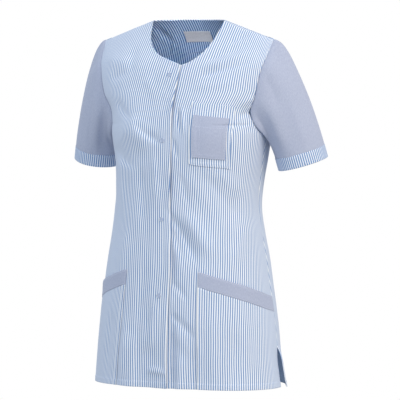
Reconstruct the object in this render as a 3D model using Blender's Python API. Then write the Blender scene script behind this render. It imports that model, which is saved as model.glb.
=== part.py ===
"""A short-sleeved tunic for medical work, worn and hollow, as its cut and sewn pieces of cloth.

Metres, +Z up. The front faces -Y and the wearer's left is +X. The origin lies midway between the
two points where the shoulder seams meet the neckline, and the garment hangs below it.
"""
from bisect import bisect_right
from collections import namedtuple
from math import copysign, cos, degrees, exp, hypot, pi, radians, sin, sqrt, asin

import bmesh
import bpy
from mathutils import Vector

# Cloth
CLOTH = 0.0012  # wall of one layer
SEAM_GAP = 0.0003
LAP_GAP = 0.0006  # between the two fronts where they overlap
POCKET_GAP = 0.0003
BAND_CLOTH = 1.4 * CLOTH  # the pockets' turned bands
CUFF_CLOTH = 1.3 * CLOTH
LABEL_CLOTH = 0.6 * CLOTH

# Shoulders and neck
NECK_X = 0.081  # from the middle to the neck end of a shoulder seam
SHOULDER_X = 0.192  # from the middle to the sleeve end of a shoulder seam
SHOULDER_SLOPE = 0.35
SHOULDER_ROUNDING = 0.060  # height over which the shoulder rolls into the front and back

# Fronts
LAP = 0.016  # each front passes the middle line by this much
LAP_START_X = -0.038  # where the right front begins to rise, to pass over the left one
LAP_RISE_RUN = 0.020
BUST = 0.010  # fullness that the bust darts give, beyond the plain section
BUST_X = 0.088
BUST_Z = -0.222
BUST_WIDTH = 0.055
BUST_HEIGHT = 0.062

# Hem and side slits
HEM_Z = -0.740
SLIT_TOP_Z = -0.665
SLIT_SPREAD = 0.0035  # how far each edge of a slit stands from the side line at the hem

# Sleeves
CUFF_HEIGHT = 0.025
CUFF_CENTRE = Vector((0.2345, 0.046, -0.288))
CUFF_AXIS = Vector((0.22, 0.19, -1.0)).normalized()
CUFF_ACROSS = 0.0505
CUFF_DEEP = 0.056
CUFF_PROUD = 0.0004  # of the sleeve above it
ARMHOLE_GAP = 0.0005
LEAVE_REACH = (0.106, 0.050)  # pull of the armhole on the cloth, at the sleeve's top and underarm
ARRIVE_REACH = (0.200, 0.055)  # pull of the cuff on it
LEAVE_FORWARD = 0.15
LEAVE_DOWN = (0.45, 0.30)  # downward share at the front and back, and at the underarm

# Studs
STUD_RADIUS = 0.0048
STUD_HEIGHTS = (-0.111, -0.241, -0.399, -0.552)
STUD_SIDES = 16
StudPoint = namedtuple("StudPoint", "radius height")
STUD_PROFILE = (  # from the middle of its top, out over its rim, to the middle of its back
    StudPoint(0.0, 0.0007),
    StudPoint(0.0024, 0.0007),
    StudPoint(0.0032, 0.0014),
    StudPoint(0.0042, 0.0014),
    StudPoint(STUD_RADIUS, 0.0007),
    StudPoint(0.0044, 0.0),
    StudPoint(0.0, 0.0),
)

ROUNDNESS = 2.3  # power of the body's sections: 2 is an ellipse, more is squarer
POWER = 2.0 / ROUNDNESS

# Steps for measuring the form's slope, and how near to the shoulder seam it counts as upright
TURN_STEP = 0.5
HEIGHT_STEP = 0.0006
RIDGE_NEAR = 0.0008

Section = namedtuple("Section", "height half_width front back sway side_turn")
SECTIONS = (
    Section(0.032, 0.203, 0.002, 0.044, 0.0, 90),
    Section(0.000, 0.203, 0.012, 0.057, 0.0, 90),
    Section(-0.051, 0.203, 0.045, 0.084, 0.0, 90),
    Section(-0.092, 0.203, 0.077, 0.100, 0.0, 90),
    Section(-0.146, 0.191, 0.096, 0.110, 0.001, 90),
    Section(-0.181, 0.170, 0.105, 0.113, 0.003, 90),
    Section(-0.206, 0.167, 0.110, 0.113, 0.005, 90),
    Section(-0.230, 0.168, 0.114, 0.112, 0.006, 90),
    Section(-0.280, 0.160, 0.118, 0.108, 0.006, 91),
    Section(-0.330, 0.155, 0.119, 0.101, 0.003, 92),
    Section(-0.380, 0.155, 0.120, 0.097, 0.0, 93),
    Section(-0.430, 0.161, 0.123, 0.103, 0.0, 94),
    Section(-0.480, 0.170, 0.127, 0.112, 0.0, 94.5),
    Section(-0.540, 0.178, 0.131, 0.121, 0.0, 95),
    Section(-0.613, 0.188, 0.135, 0.129, 0.0, 95),
    Section(-0.680, 0.194, 0.137, 0.135, 0.0, 95),
    Section(-0.740, 0.201, 0.138, 0.140, 0.002, 95),
)

# The armhole, as the turn round the body at each height: 0 is the front's middle, 180 the back's.
Armhole = namedtuple("Armhole", "height front_turn back_turn")
ARMHOLE = (
    Armhole(-0.039, 70.0, 110.0),
    Armhole(-0.061, 67.2, 112.5),
    Armhole(-0.084, 64.1, 115.0),
    Armhole(-0.107, 62.0, 116.5),
    Armhole(-0.131, 62.0, 115.5),
    Armhole(-0.155, 63.5, 115.0),
    Armhole(-0.181, 67.0, 112.5),
    Armhole(-0.206, 72.0, 108.5),
    Armhole(-0.221, 78.5, 103.0),
    Armhole(-0.2275, 84.5, 97.0),
    Armhole(-0.230, 90.0, 90.0),
)
LOWER_ARMHOLE_Z = -0.15

# Rows of the body's cloth below the armhole's upper part: the height at the front's middle, at the
# side seam or armhole, and at the back's middle.
Row = namedtuple("Row", "name front side back")
ROWS = (
    Row("hem", -0.737, -0.740, -0.740),
    Row("", -0.705, -0.705, -0.705),
    Row("slit", -0.662, -0.665, -0.662),
    Row("", -0.618, -0.638, -0.625),
    Row("", -0.575, -0.612, -0.590),
    Row("band_bottom", -0.533, -0.588, -0.556),
    Row("band_top", -0.503, -0.558, -0.526),
    Row("", -0.470, -0.515, -0.490),
    Row("waist", -0.436, -0.471, -0.452),
    Row("", -0.401, -0.428, -0.415),
    Row("", -0.366, -0.387, -0.377),
    Row("", -0.330, -0.348, -0.340),
    Row("pocket_bottom", -0.287, -0.304, -0.296),
    Row("pen_bottom", -0.271, -0.287, -0.279),
    Row("", -0.244, -0.259, -0.252),
    Row("underarm", -0.219, -0.230, -0.226),
    Row("", -0.208, -0.2275, -0.212),
    Row("", -0.198, -0.221, -0.200),
    Row("pen_top", -0.188, -0.206, -0.187),
    Row("pocket_top", -0.163, -0.181, -0.160),
    Row("chest", -0.140, -0.155, -0.132),
)
ARMHOLE_ABOVE_CHEST = (-0.136, -0.117, -0.098, -0.078, -0.058, -0.039)

# Columns of a front, from its edge to the chest pocket and on to the side
COLUMNS = 12
POCKET_COLUMN = 4  # inner edge of both pockets
CHEST_COLUMN_X = (-LAP, 0.0, LAP, 0.038, 0.060)
HIP_COLUMN_X = (-LAP, 0.0, LAP, 0.048)
HIP_POCKET_X = {1: (0.081, 0.084), -1: (0.081, 0.103)}  # inner edge at the mouth and at the hem
CHEST_POCKET_X = (0.141, 0.132)  # outer edge at its top and its bottom
CHEST_POCKET_SHARES = (0.0, 0.09, 0.35, 0.62, 0.90, 1.0)  # columns across the chest pocket
PEN_COLUMNS = (5, 8)
CHEST_END_COLUMN = 9

# Neckline of each front, from its edge to the shoulder seam
NeckPoint = namedtuple("NeckPoint", "x height")
NECKLINE_LEFT = (
    NeckPoint(-0.016, -0.101),
    NeckPoint(0.0, -0.097),
    NeckPoint(0.016, -0.092),
    NeckPoint(0.040, -0.082),
    NeckPoint(0.061, -0.062),
    NeckPoint(0.073, -0.036),
)
NECKLINE_RIGHT = (
    NeckPoint(-0.016, -0.092),
    NeckPoint(0.0, -0.086),
    NeckPoint(0.016, -0.080),
    NeckPoint(0.041, -0.069),
    NeckPoint(0.060, -0.053),
    NeckPoint(0.074, -0.030),
)
SHOULDER_COLUMNS = 6

# Back neck and its facing
BACK_SIDE_COLUMNS = 6  # columns that end on the shoulder seam
BACK_NECK_X = (0.0765, 0.066, 0.043, 0.011, 0.0)  # columns from there to the back's middle
BACK_NECK_RISE = 0.002
FACING_ROWS = 3  # rows of the back that the facing covers
FACING_SHOULDER_COLUMNS = 2
FACING_INSET = 0.0012  # of the facing's ends behind the shoulder seams
LABEL_COLUMNS = (-1, 2)  # from the back's middle towards the wearer's right

# Soft folds pressed into the fronts and the back: a ridge where rise is positive, a trough where
# it is negative, from a start to an end point, fading out at both ends, and towards the sides.
FOLD_FADE = 0.35  # share of its length over which a fold fades
FOLD_SPREAD = 0.45  # cosine of the turn beyond which it begins to fade
Fold = namedtuple("Fold", "face x1 z1 x2 z2 rise width")
FOLDS = (
    Fold("front", 0.020, -0.395, 0.085, -0.500, -0.0040, 0.024),
    Fold("front", 0.045, -0.380, 0.115, -0.485, 0.0035, 0.020),
    Fold("front", 0.060, -0.310, 0.135, -0.420, -0.0030, 0.026),
    Fold("front", -0.110, -0.203, -0.020, -0.250, 0.0035, 0.019),
    Fold("front", -0.115, -0.240, -0.030, -0.290, -0.0035, 0.022),
    Fold("front", -0.060, -0.620, -0.070, -0.745, 0.0050, 0.026),
    Fold("front", -0.025, -0.640, -0.028, -0.745, -0.0045, 0.022),
    Fold("front", 0.060, -0.600, 0.075, -0.745, -0.0040, 0.030),
    Fold("back", -0.060, -0.330, -0.080, -0.460, 0.0040, 0.022),
    Fold("back", 0.055, -0.340, 0.075, -0.450, 0.0035, 0.024),
    Fold("back", -0.010, -0.360, 0.000, -0.480, -0.0035, 0.030),
    Fold("back", -0.095, -0.560, -0.110, -0.745, 0.0050, 0.030),
    Fold("back", 0.085, -0.580, 0.100, -0.745, 0.0050, 0.032),
    Fold("back", 0.000, -0.600, 0.005, -0.745, -0.0045, 0.036),
)

# Soft folds round a sleeve: the turn from its top towards its front, and the rise of each
SleeveFold = namedtuple("SleeveFold", "turn rise width")
SLEEVE_FOLDS = (
    SleeveFold(62, -0.0045, 16),
    SleeveFold(95, 0.0040, 15),
    SleeveFold(126, -0.0040, 14),
    SleeveFold(235, -0.0040, 18),
    SleeveFold(275, 0.0035, 18),
)
SLEEVE_FOLD_FADE = 0.4  # share of the sleeve's length over which its folds fade, at each end
SLEEVE_FOLD_LOSS = 0.75  # share of their rise that they have lost at the cuff
SLEEVE_STEPS = (0.0, 0.07, 0.16, 0.28, 0.42, 0.57, 0.72, 0.86, 1.0)

STRIPED = ((0.56, 0.66, 0.82), 0.75)
CHAMBRAY = ((0.42, 0.46, 0.60), 0.80)
LABEL_TAPE = ((0.80, 0.80, 0.80), 0.70)
PEARL = ((0.70, 0.75, 0.84), 0.35)


class Profile:
    """A smooth line through one column of a table, read between its rows by a cubic."""

    def __init__(self, rows, key, column):
        pairs = sorted((getattr(row, key), getattr(row, column)) for row in rows)
        self.at = [pair[0] for pair in pairs]
        self.value = [pair[1] for pair in pairs]

    def slope(self, i):
        low = max(i - 1, 0)
        high = min(i + 1, len(self.at) - 1)
        return (self.value[high] - self.value[low]) / (self.at[high] - self.at[low])

    def __call__(self, at):
        if at <= self.at[0]:
            return self.value[0]
        if at >= self.at[-1]:
            return self.value[-1]
        i = bisect_right(self.at, at) - 1
        span = self.at[i + 1] - self.at[i]
        t = (at - self.at[i]) / span
        start = (1 + 2 * t) * (1 - t) ** 2 * self.value[i] + t * (1 - t) ** 2 * span * self.slope(i)
        end = t * t * (3 - 2 * t) * self.value[i + 1] - t * t * (1 - t) * span * self.slope(i + 1)
        return start + end


HALF_WIDTH = Profile(SECTIONS, "height", "half_width")
FRONT_DEPTH = Profile(SECTIONS, "height", "front")
BACK_DEPTH = Profile(SECTIONS, "height", "back")
SWAY = Profile(SECTIONS, "height", "sway")
SIDE_TURN = Profile(SECTIONS, "height", "side_turn")
ARMHOLE_FRONT = Profile(ARMHOLE, "height", "front_turn")
ARMHOLE_BACK = Profile(ARMHOLE, "height", "back_turn")


def ease(t):
    """0 to 1 with level ends."""
    t = min(max(t, 0.0), 1.0)
    return t * t * (3 - 2 * t)


def mix(a, b, t):
    return a + (b - a) * t


# ---- The worn form ----


def ridge_height(x):
    """Height of the shoulder seam above or below the neck's ends, which goes on across the neck."""
    return SHOULDER_SLOPE * (NECK_X - abs(x))


def fold_rise(face, x, height):
    """How far the folds of one face lift the cloth at a place."""
    rise = 0.0
    for fold in FOLDS:
        if fold.face != face:
            continue
        run_x = fold.x2 - fold.x1
        run_z = fold.z2 - fold.z1
        length = hypot(run_x, run_z)
        along = ((x - fold.x1) * run_x + (height - fold.z1) * run_z) / length
        beside = ((x - fold.x1) * run_z - (height - fold.z1) * run_x) / length
        end = 1.0 if fold.z2 <= HEM_Z else 1.0 - FOLD_FADE
        fade = ease(along / (FOLD_FADE * length)) * (1 - ease((along / length - end) / FOLD_FADE))
        rise += fold.rise * fade * exp(-((beside / fold.width) ** 2))
    return rise


def bust_rise(x, height):
    up = (height - BUST_Z) / BUST_HEIGHT
    return BUST * sum(exp(-(((x - s * BUST_X) / BUST_WIDTH) ** 2) - up * up) for s in (-1, 1))


def form_point(turn, height):
    """The outer face of the cloth, by the turn in degrees from the front's middle, and the height."""
    facing = cos(radians(turn))
    across = sin(radians(turn))
    x = SWAY(height) + HALF_WIDTH(height) * copysign(abs(across) ** POWER, across)
    drop = max(ridge_height(x) - height, 0.0) / SHOULDER_ROUNDING
    roll = sqrt(1 - (1 - min(drop, 1.0)) ** 2)
    depth = FRONT_DEPTH(height) if facing > 0 else BACK_DEPTH(height)
    y = -copysign(depth * abs(facing) ** POWER * roll, facing)
    spread = ease(abs(facing) / FOLD_SPREAD)
    if facing > 0:
        y -= spread * (fold_rise("front", x, height) + bust_rise(x, height))
    else:
        y += spread * fold_rise("back", x, height)
    return Vector((x, y, height))


def turn_at(x, height):
    """The turn at which the form reaches this far to the side, on the front."""
    reach = x - SWAY(height)
    share = min(abs(reach) / HALF_WIDTH(height), 1.0)
    return copysign(degrees(asin(share ** (1 / POWER))), reach)


def form_normal(turn, height):
    """Outward direction of the form, upright across a shoulder seam."""
    side = copysign(1.0, turn)
    at = form_point(turn, height)
    if ridge_height(at.x) - height < RIDGE_NEAR:
        return Vector((SHOULDER_SLOPE * side, 0, 1)).normalized()
    round_body = form_point(turn + TURN_STEP, height) - form_point(turn - TURN_STEP, height)
    up = form_point(turn, height + HEIGHT_STEP) - form_point(turn, height - HEIGHT_STEP)
    return round_body.cross(up).normalized()


# ---- Grids of places on the form ----

Node = namedtuple("Node", "turn height")


def row_index(name):
    return [row.name for row in ROWS].index(name)


def slit_turn(height):
    """How far the edge of a front or back stands from the side line, as a turn in degrees."""
    share = max(SLIT_TOP_Z - height, 0.0) / (SLIT_TOP_Z - HEM_Z)
    return degrees((SLIT_SPREAD * share + SEAM_GAP / 2) / BACK_DEPTH(height))


def front_base_row(row, side):
    """Places along one row of a front, from its edge to its side seam or armhole."""
    waist, pocket_bottom, pocket_top, band_top = (
        ROWS[row_index(name)].front for name in ("waist", "pocket_bottom", "pocket_top", "band_top"))
    to_chest = ease((row.front - waist) / (pocket_bottom - waist))
    up_pocket = (row.front - pocket_bottom) / (pocket_top - pocket_bottom)
    pocket_outer = mix(CHEST_POCKET_X[1], CHEST_POCKET_X[0], max(up_pocket, 0.0))
    down_hip = (band_top - row.front) / (band_top - HEM_Z)
    hip_inner = mix(*HIP_POCKET_X[side], max(down_hip, 0.0))
    if row.side >= ARMHOLE[-1].height:
        side_turn = ARMHOLE_FRONT(row.side) * side
    else:
        side_turn = (SIDE_TURN(row.side) - slit_turn(row.side)) * side
    steps = COLUMNS - POCKET_COLUMN
    heights = []
    for column in range(COLUMNS + 1):
        heights.append(mix(row.front, row.side, max(column - POCKET_COLUMN, 0) / steps))
    chest_x = list(CHEST_COLUMN_X[:-1])
    chest_x += [mix(CHEST_COLUMN_X[-1], pocket_outer, share) for share in CHEST_POCKET_SHARES]
    chest = [turn_at(side * x, z) for x, z in zip(chest_x, heights)]
    beyond = COLUMNS - CHEST_END_COLUMN
    for step in range(1, beyond + 1):
        chest.append(mix(chest[CHEST_END_COLUMN], side_turn, step / beyond))
    hip = [turn_at(side * x, z) for x, z in zip((*HIP_COLUMN_X, hip_inner), heights)]
    for step in range(1, steps + 1):
        hip.append(mix(hip[POCKET_COLUMN], side_turn, step / steps))
    return [Node(mix(h, c, to_chest), z) for h, c, z in zip(hip, chest, heights)]


def shoulder_nodes(count, back=False):
    """Places along a shoulder seam, from the neck to the sleeve."""
    nodes = []
    for step in range(count + 1):
        x = mix(NECK_X, SHOULDER_X, step / count)
        turn = turn_at(x, ridge_height(x))
        nodes.append(Node(180 - turn if back else turn, ridge_height(x)))
    return nodes


def fan(base, top, armhole):
    """Rows from a base row up to a top edge, whose last places follow the armhole."""
    rows = []
    count = len(armhole)
    last = len(base) - 1
    for step, side_node in enumerate(armhole, 1):
        t = step / count
        straight_turn = mix(base[last].turn, top[last].turn, t)
        straight_height = mix(base[last].height, top[last].height, t)
        row = []
        for column in range(last + 1):
            pull = (column / last) ** 2
            turn = mix(base[column].turn, top[column].turn, t) + pull * (side_node.turn - straight_turn)
            height = mix(base[column].height, top[column].height, t)
            height += pull * (side_node.height - straight_height)
            row.append(Node(turn, height))
        rows.append(row)
    return rows


def front_grid(side, neckline):
    rows = [front_base_row(row, side) for row in ROWS]
    top = [Node(turn_at(side * p.x, p.height), p.height) for p in neckline]
    top += [Node(side * node.turn, node.height) for node in shoulder_nodes(SHOULDER_COLUMNS)]
    armhole = [Node(side * ARMHOLE_FRONT(z), z) for z in ARMHOLE_ABOVE_CHEST[:-1]]
    armhole.append(top[-1])
    return rows + fan(rows[-1], top, armhole)


def back_grid():
    """Rows of the back from the wearer's left side, round the back, to the right side."""
    underarm = ARMHOLE[-1].height
    half_columns = BACK_SIDE_COLUMNS + len(BACK_NECK_X)
    rows = []
    for row in ROWS:
        if row.side >= underarm:
            side_turn = ARMHOLE_BACK(row.side)
        else:
            side_turn = SIDE_TURN(row.side) + slit_turn(row.side)
        half = []
        for column in range(half_columns + 1):
            t = column / half_columns
            half.append(Node(mix(side_turn, 180.0, t), mix(row.side, row.back, ease(t))))
        rows.append(half)
    shoulder = shoulder_nodes(BACK_SIDE_COLUMNS, back=True)
    top = shoulder[::-1]
    for x in BACK_NECK_X:
        height = BACK_NECK_RISE * sqrt(1 - (x / NECK_X) ** 2)
        top.append(Node(180 - turn_at(x, height), height))
    armhole = [Node(ARMHOLE_BACK(z), z) for z in ARMHOLE_ABOVE_CHEST[:-1]]
    armhole.append(top[0])
    fan_rows = fan(rows[-1][::-1], top[::-1], armhole)
    rows += [row[::-1] for row in fan_rows]
    full = []
    for half in rows:
        mirrored = [Node(-node.turn, node.height) for node in half[-2::-1]]
        full.append(half + mirrored)
    return full


# ---- Cloth walls ----

DIAGONAL_SHARE = 0.85  # a quad is split the other way where that diagonal is this much shorter


def collection_named(name):
    group = bpy.data.collections.new(name)
    bpy.context.scene.collection.children.link(group)
    return group


def material_named(name, finish):
    colour, roughness = finish
    material = bpy.data.materials.new(name)
    material.use_nodes = True
    shader = material.node_tree.nodes["Principled BSDF"]
    shader.inputs["Base Color"].default_value = (*colour, 1.0)
    shader.inputs["Roughness"].default_value = roughness
    shader.inputs["Metallic"].default_value = 0.0
    return material


def add_object(name, mesh, finish, group):
    mesh.materials.append(material_named(name, finish))
    piece = bpy.data.objects.new(name, mesh)
    group.objects.link(piece)
    return piece


def wall(name, outer, inner, finish, group, ring=False):
    """A closed sheet between two grids of points; a ring's last column joins its first."""
    mesh = bpy.data.meshes.new(name)
    bm = bmesh.new()
    rows, columns = len(outer), len(outer[0])
    layers = [[[bm.verts.new(p) for p in row] for row in grid] for grid in (outer, inner)]
    last = columns if ring else columns - 1

    def quad(a, b, c, d):
        bm.faces.new((a, b, c))
        bm.faces.new((a, c, d))

    for i in range(rows - 1):
        for j in range(last):
            k = (j + 1) % columns
            face = [(i, j), (i, k), (i + 1, k), (i + 1, j)]
            a, b, c, d = (outer[r][c] for r, c in face)
            if (b - d).length < DIAGONAL_SHARE * (a - c).length:
                face = face[1:] + face[:1]
            for layer in layers:
                quad(*(layer[r][c] for r, c in face))
    edge = [(0, j) for j in range(columns)]
    if ring:
        loops = [edge, [(rows - 1, j) for j in range(columns)][::-1]]
    else:
        edge += [(i, columns - 1) for i in range(1, rows)]
        edge += [(rows - 1, j) for j in range(columns - 2, -1, -1)]
        edge += [(i, 0) for i in range(rows - 2, 0, -1)]
        loops = [edge]
    for loop in loops:
        for (r1, c1), (r2, c2) in zip(loop, loop[1:] + loop[:1]):
            quad(layers[1][r1][c1], layers[1][r2][c2], layers[0][r2][c2], layers[0][r1][c1])
    bmesh.ops.recalc_face_normals(bm, faces=bm.faces)
    bm.to_mesh(mesh)
    bm.free()
    mesh.shade_smooth()
    mesh.set_sharp_from_angle(angle=radians(50))
    return add_object(name, mesh, finish, group)


def layered(grid, low, high):
    """Outer and inner points of a layer that lies between two heights above the form."""
    points = [[form_point(*node) for node in row] for row in grid]
    normals = [[form_normal(*node) for node in row] for row in grid]
    outer = [[p + n * high for p, n in zip(*rows)] for rows in zip(points, normals)]
    inner = [[p + n * low for p, n in zip(*rows)] for rows in zip(points, normals)]
    return outer, inner


def lap_lift(x):
    """How far the wearer's right front stands off to pass over the left one."""
    return (CLOTH + LAP_GAP) * ease((x - LAP_START_X) / LAP_RISE_RUN)


def build_front(name, side, neckline, group):
    grid = front_grid(side, neckline)
    outer, inner = layered(grid, -CLOTH, 0.0)
    if side < 0:
        for rows in zip(outer, inner, grid):
            for out, inn, node in zip(*rows):
                lift = form_normal(*node) * lap_lift(out.x)
                out += lift
                inn += lift
    top = len(grid) - 1
    for row in (outer[top], inner[top]):
        for point in row[len(neckline):]:
            point.y -= SEAM_GAP / 2
    wall(name, outer, inner, STRIPED, group)
    return grid


def build_back(group):
    grid = back_grid()
    outer, inner = layered(grid, -CLOTH, 0.0)
    top = len(grid) - 1
    count = len(grid[top])
    for row in (outer[top], inner[top]):
        for column, point in enumerate(row):
            if column <= BACK_SIDE_COLUMNS or column >= count - 1 - BACK_SIDE_COLUMNS:
                point.y += SEAM_GAP / 2
    wall("back", outer, inner, STRIPED, group)
    return grid


def crop(grid, rows, columns):
    return [row[columns[0]:columns[1] + 1] for row in grid[rows[0]:rows[1] + 1]]


def build_patch(name, grid, rows, columns, layer, finish, group):
    """A piece that lies on a front: layer 1 on the cloth itself, layer 2 on a patch."""
    low = POCKET_GAP * layer + CLOTH * (layer - 1)
    outer, inner = layered(crop(grid, rows, columns), low, low + CLOTH)
    wall(name, outer, inner, finish, group)


def trim_rows(grid, low, high):
    """Moves the first row of a crop up, or the last row down, by a seam's half gap."""
    trimmed = [list(row) for row in grid]
    trimmed[0] = [Node(n.turn, n.height + low) for n in trimmed[0]]
    trimmed[-1] = [Node(n.turn, n.height - high) for n in trimmed[-1]]
    return trimmed


def build_hip_pocket(side, grid, group):
    label = "left" if side > 0 else "right"
    columns = (POCKET_COLUMN, COLUMNS)
    bottom, top = row_index("band_bottom"), row_index("band_top")
    pocket = trim_rows(crop(grid, (0, bottom), columns), 0.0, SEAM_GAP / 2)
    outer, inner = layered(pocket, POCKET_GAP, POCKET_GAP + CLOTH)
    wall(f"hip_pocket_{label}", outer, inner, STRIPED, group)
    band = trim_rows(crop(grid, (bottom, top), columns), SEAM_GAP / 2, 0.0)
    outer, inner = layered(band, POCKET_GAP, POCKET_GAP + BAND_CLOTH)
    wall(f"hip_band_{label}", outer, inner, CHAMBRAY, group)


def build_neck_facing(grid, group):
    """The band of cloth sewn inside the back neckline."""
    half = BACK_SIDE_COLUMNS + len(BACK_NECK_X)
    first = BACK_SIDE_COLUMNS - FACING_SHOULDER_COLUMNS
    columns = (first, 2 * half - first)
    rows = (len(grid) - 1 - FACING_ROWS, len(grid) - 1)
    cropped = crop(grid, rows, columns)
    outer, inner = layered(cropped, -2 * CLOTH - LAP_GAP, -CLOTH - LAP_GAP)
    count = len(outer[-1])
    for row in (outer[-1], inner[-1]):
        for column, point in enumerate(row):
            if column <= FACING_SHOULDER_COLUMNS or column >= count - 1 - FACING_SHOULDER_COLUMNS:
                point.y += FACING_INSET
    wall("neck_facing", outer, inner, STRIPED, group)


def build_label(grid, group):
    """The bare neck label: one row of the facing, a little to the wearer's right."""
    middle = BACK_SIDE_COLUMNS + len(BACK_NECK_X)
    rows = (len(grid) - FACING_ROWS, len(grid) - FACING_ROWS + 1)
    low = 2 * CLOTH + LAP_GAP + SEAM_GAP
    cropped = crop(grid, rows, [middle + column for column in LABEL_COLUMNS])
    outer, inner = layered(cropped, -low - LABEL_CLOTH, -low)
    wall("neck_label", outer, inner, LABEL_TAPE, group)


# ---- Sleeves ----


def armhole_loop(front, back, side):
    """Corner points of an armhole: down the front from the shoulder, and up the back."""
    underarm = row_index("underarm")
    back_column = 0 if side > 0 else len(back[0]) - 1
    front_half = [row[-1] for row in front[underarm:]][::-1]
    back_half = [row[back_column] for row in back[underarm:]]
    return front_half[:-1] + back_half[:-1]


def sleeve_rings(front, back, side):
    """The first ring along the armhole, with two points to each of its edges, and its shares."""
    nodes = armhole_loop(front, back, side)
    corners = [form_point(*node) for node in nodes]
    normals = [form_normal(*node) for node in nodes]
    count = len(corners)
    start = []
    for i in range(count):
        along = (corners[(i + 1) % count] - corners[i - 1]).normalized()
        away = along.cross(normals[i]).normalized()
        if away.x * side < 0 and abs(away.x) > abs(away.z):
            away.negate()
        elif abs(away.x) <= abs(away.z) and away.z < 0 and corners[i].z < LOWER_ARMHOLE_Z:
            away.negate()
        start.append(corners[i] + away * ARMHOLE_GAP)
    ring = []
    for i in range(count):
        ring.append(start[i])
        ring.append((start[i] + start[(i + 1) % count]) / 2)
    lengths = [0.0]
    for a, b in zip(ring, ring[1:] + ring[:1]):
        lengths.append(lengths[-1] + (b - a).length)
    half = lengths[count]
    shares = []
    for i in range(2 * count):
        if i <= count:
            shares.append(pi * lengths[i] / half)
        else:
            shares.append(pi + pi * (lengths[i] - half) / (lengths[-1] - half))
    return ring, shares


def cuff_point(turn, back_from_end, side, bulge=0.0):
    """A place on the sleeve's straight end: turn 0 is its outside, and pi/2 its front."""
    outward = Vector((1, 0, 0))
    outward = (outward - CUFF_AXIS * outward.dot(CUFF_AXIS)).normalized()
    forward = outward.cross(CUFF_AXIS).normalized()
    if forward.y > 0:
        forward.negate()
    across = outward * (CUFF_ACROSS + bulge) * cos(turn)
    deep = forward * (CUFF_DEEP + bulge) * sin(turn)
    point = CUFF_CENTRE - CUFF_AXIS * back_from_end + across + deep
    point.x *= side
    return point


def sleeve_fold(turn):
    rise = 0.0
    for fold in SLEEVE_FOLDS:
        gap = (degrees(turn) - fold.turn + 180) % 360 - 180
        rise += fold.rise * exp(-((gap / fold.width) ** 2))
    return rise


def sleeve_point(start, turn, t, side):
    """A curve from the armhole to the cuff, which leaves the shoulder level and ends down the arm."""
    end = cuff_point(turn, CUFF_HEIGHT + SEAM_GAP, side)
    axis = Vector((CUFF_AXIS.x * side, CUFF_AXIS.y, CUFF_AXIS.z))
    low = (1 - cos(turn)) / 2
    down = LEAVE_DOWN[0] * abs(sin(turn)) + LEAVE_DOWN[1] * low
    leave = Vector((side, -LEAVE_FORWARD * sin(turn), -down)).normalized() * mix(*LEAVE_REACH, low)
    arrive = axis * mix(*ARRIVE_REACH, low)
    h00 = (1 + 2 * t) * (1 - t) ** 2
    h10 = t * (1 - t) ** 2
    h01 = t * t * (3 - 2 * t)
    h11 = -t * t * (1 - t)
    point = start * h00 + leave * h10 + end * h01 + arrive * h11
    middle = (cuff_point(0.0, CUFF_HEIGHT, side) + cuff_point(pi, CUFF_HEIGHT, side)) / 2
    out = (end - middle).normalized()
    fade = ease(t / SLEEVE_FOLD_FADE) * (1 - SLEEVE_FOLD_LOSS * ease((t - 1) / SLEEVE_FOLD_FADE + 1))
    return point + out * sleeve_fold(turn) * fade


def grid_normals(rings, side):
    """Outward directions over a ring-shaped grid, from each point's neighbours."""
    normals = []
    for i, ring in enumerate(rings):
        count = len(ring)
        row = []
        for j in range(count):
            round_arm = ring[(j + 1) % count] - ring[j - 1]
            low = rings[max(i - 1, 0)][j]
            high = rings[min(i + 1, len(rings) - 1)][j]
            normal = round_arm.cross(high - low).normalized() * side
            row.append(normal)
        normals.append(row)
    return normals


def build_sleeve(side, front, back, group):
    label = "left" if side > 0 else "right"
    start, turns = sleeve_rings(front, back, side)
    rings = []
    for t in SLEEVE_STEPS:
        rings.append([sleeve_point(p, turn, t, side) for p, turn in zip(start, turns)])
    centre = sum(rings[-1], Vector()) / len(start)
    normals = grid_normals(rings, side)
    if normals[-1][0].dot(rings[-1][0] - centre) < 0:
        normals = [[-n for n in row] for row in normals]
    inner = [[p - n * CLOTH for p, n in zip(*rows)] for rows in zip(rings, normals)]
    wall(f"sleeve_{label}", rings, inner, CHAMBRAY, group, ring=True)
    cuff = []
    cuff_inner = []
    for back_from_end in (CUFF_HEIGHT, CUFF_HEIGHT / 2, 0.0):
        cuff.append([cuff_point(turn, back_from_end, side, CUFF_PROUD) for turn in turns])
        cuff_inner.append([cuff_point(turn, back_from_end, side, CUFF_PROUD - CUFF_CLOTH) for turn in turns])
    wall(f"cuff_{label}", cuff, cuff_inner, STRIPED, group, ring=True)


# ---- Studs ----


def build_stud(number, height, group):
    """The ring-shaped head of a press stud, a turned profile on the right front's outer face."""
    mesh = bpy.data.meshes.new(f"stud_{number}")
    bm = bmesh.new()
    verts = [bm.verts.new((point.radius, 0, point.height)) for point in STUD_PROFILE]
    for a, b in zip(verts, verts[1:]):
        bm.edges.new((a, b))
    bmesh.ops.spin(bm, geom=bm.verts[:] + bm.edges[:], cent=(0, 0, 0), axis=(0, 0, 1),
                   angle=2 * pi, steps=STUD_SIDES, use_merge=True)
    bmesh.ops.remove_doubles(bm, verts=bm.verts, dist=0.00001)
    bmesh.ops.recalc_face_normals(bm, faces=bm.faces)
    bm.to_mesh(mesh)
    bm.free()
    mesh.shade_smooth()
    mesh.set_sharp_from_angle(angle=radians(40))
    stud = add_object(f"stud_{number}", mesh, PEARL, group)
    middle = turn_at(0.0, height)
    normal = form_normal(middle, height)
    stud.location = form_point(middle, height) + normal * (CLOTH + LAP_GAP + 2 * SEAM_GAP)
    stud.rotation_euler = Vector((0, 0, 1)).rotation_difference(normal).to_euler()


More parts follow.
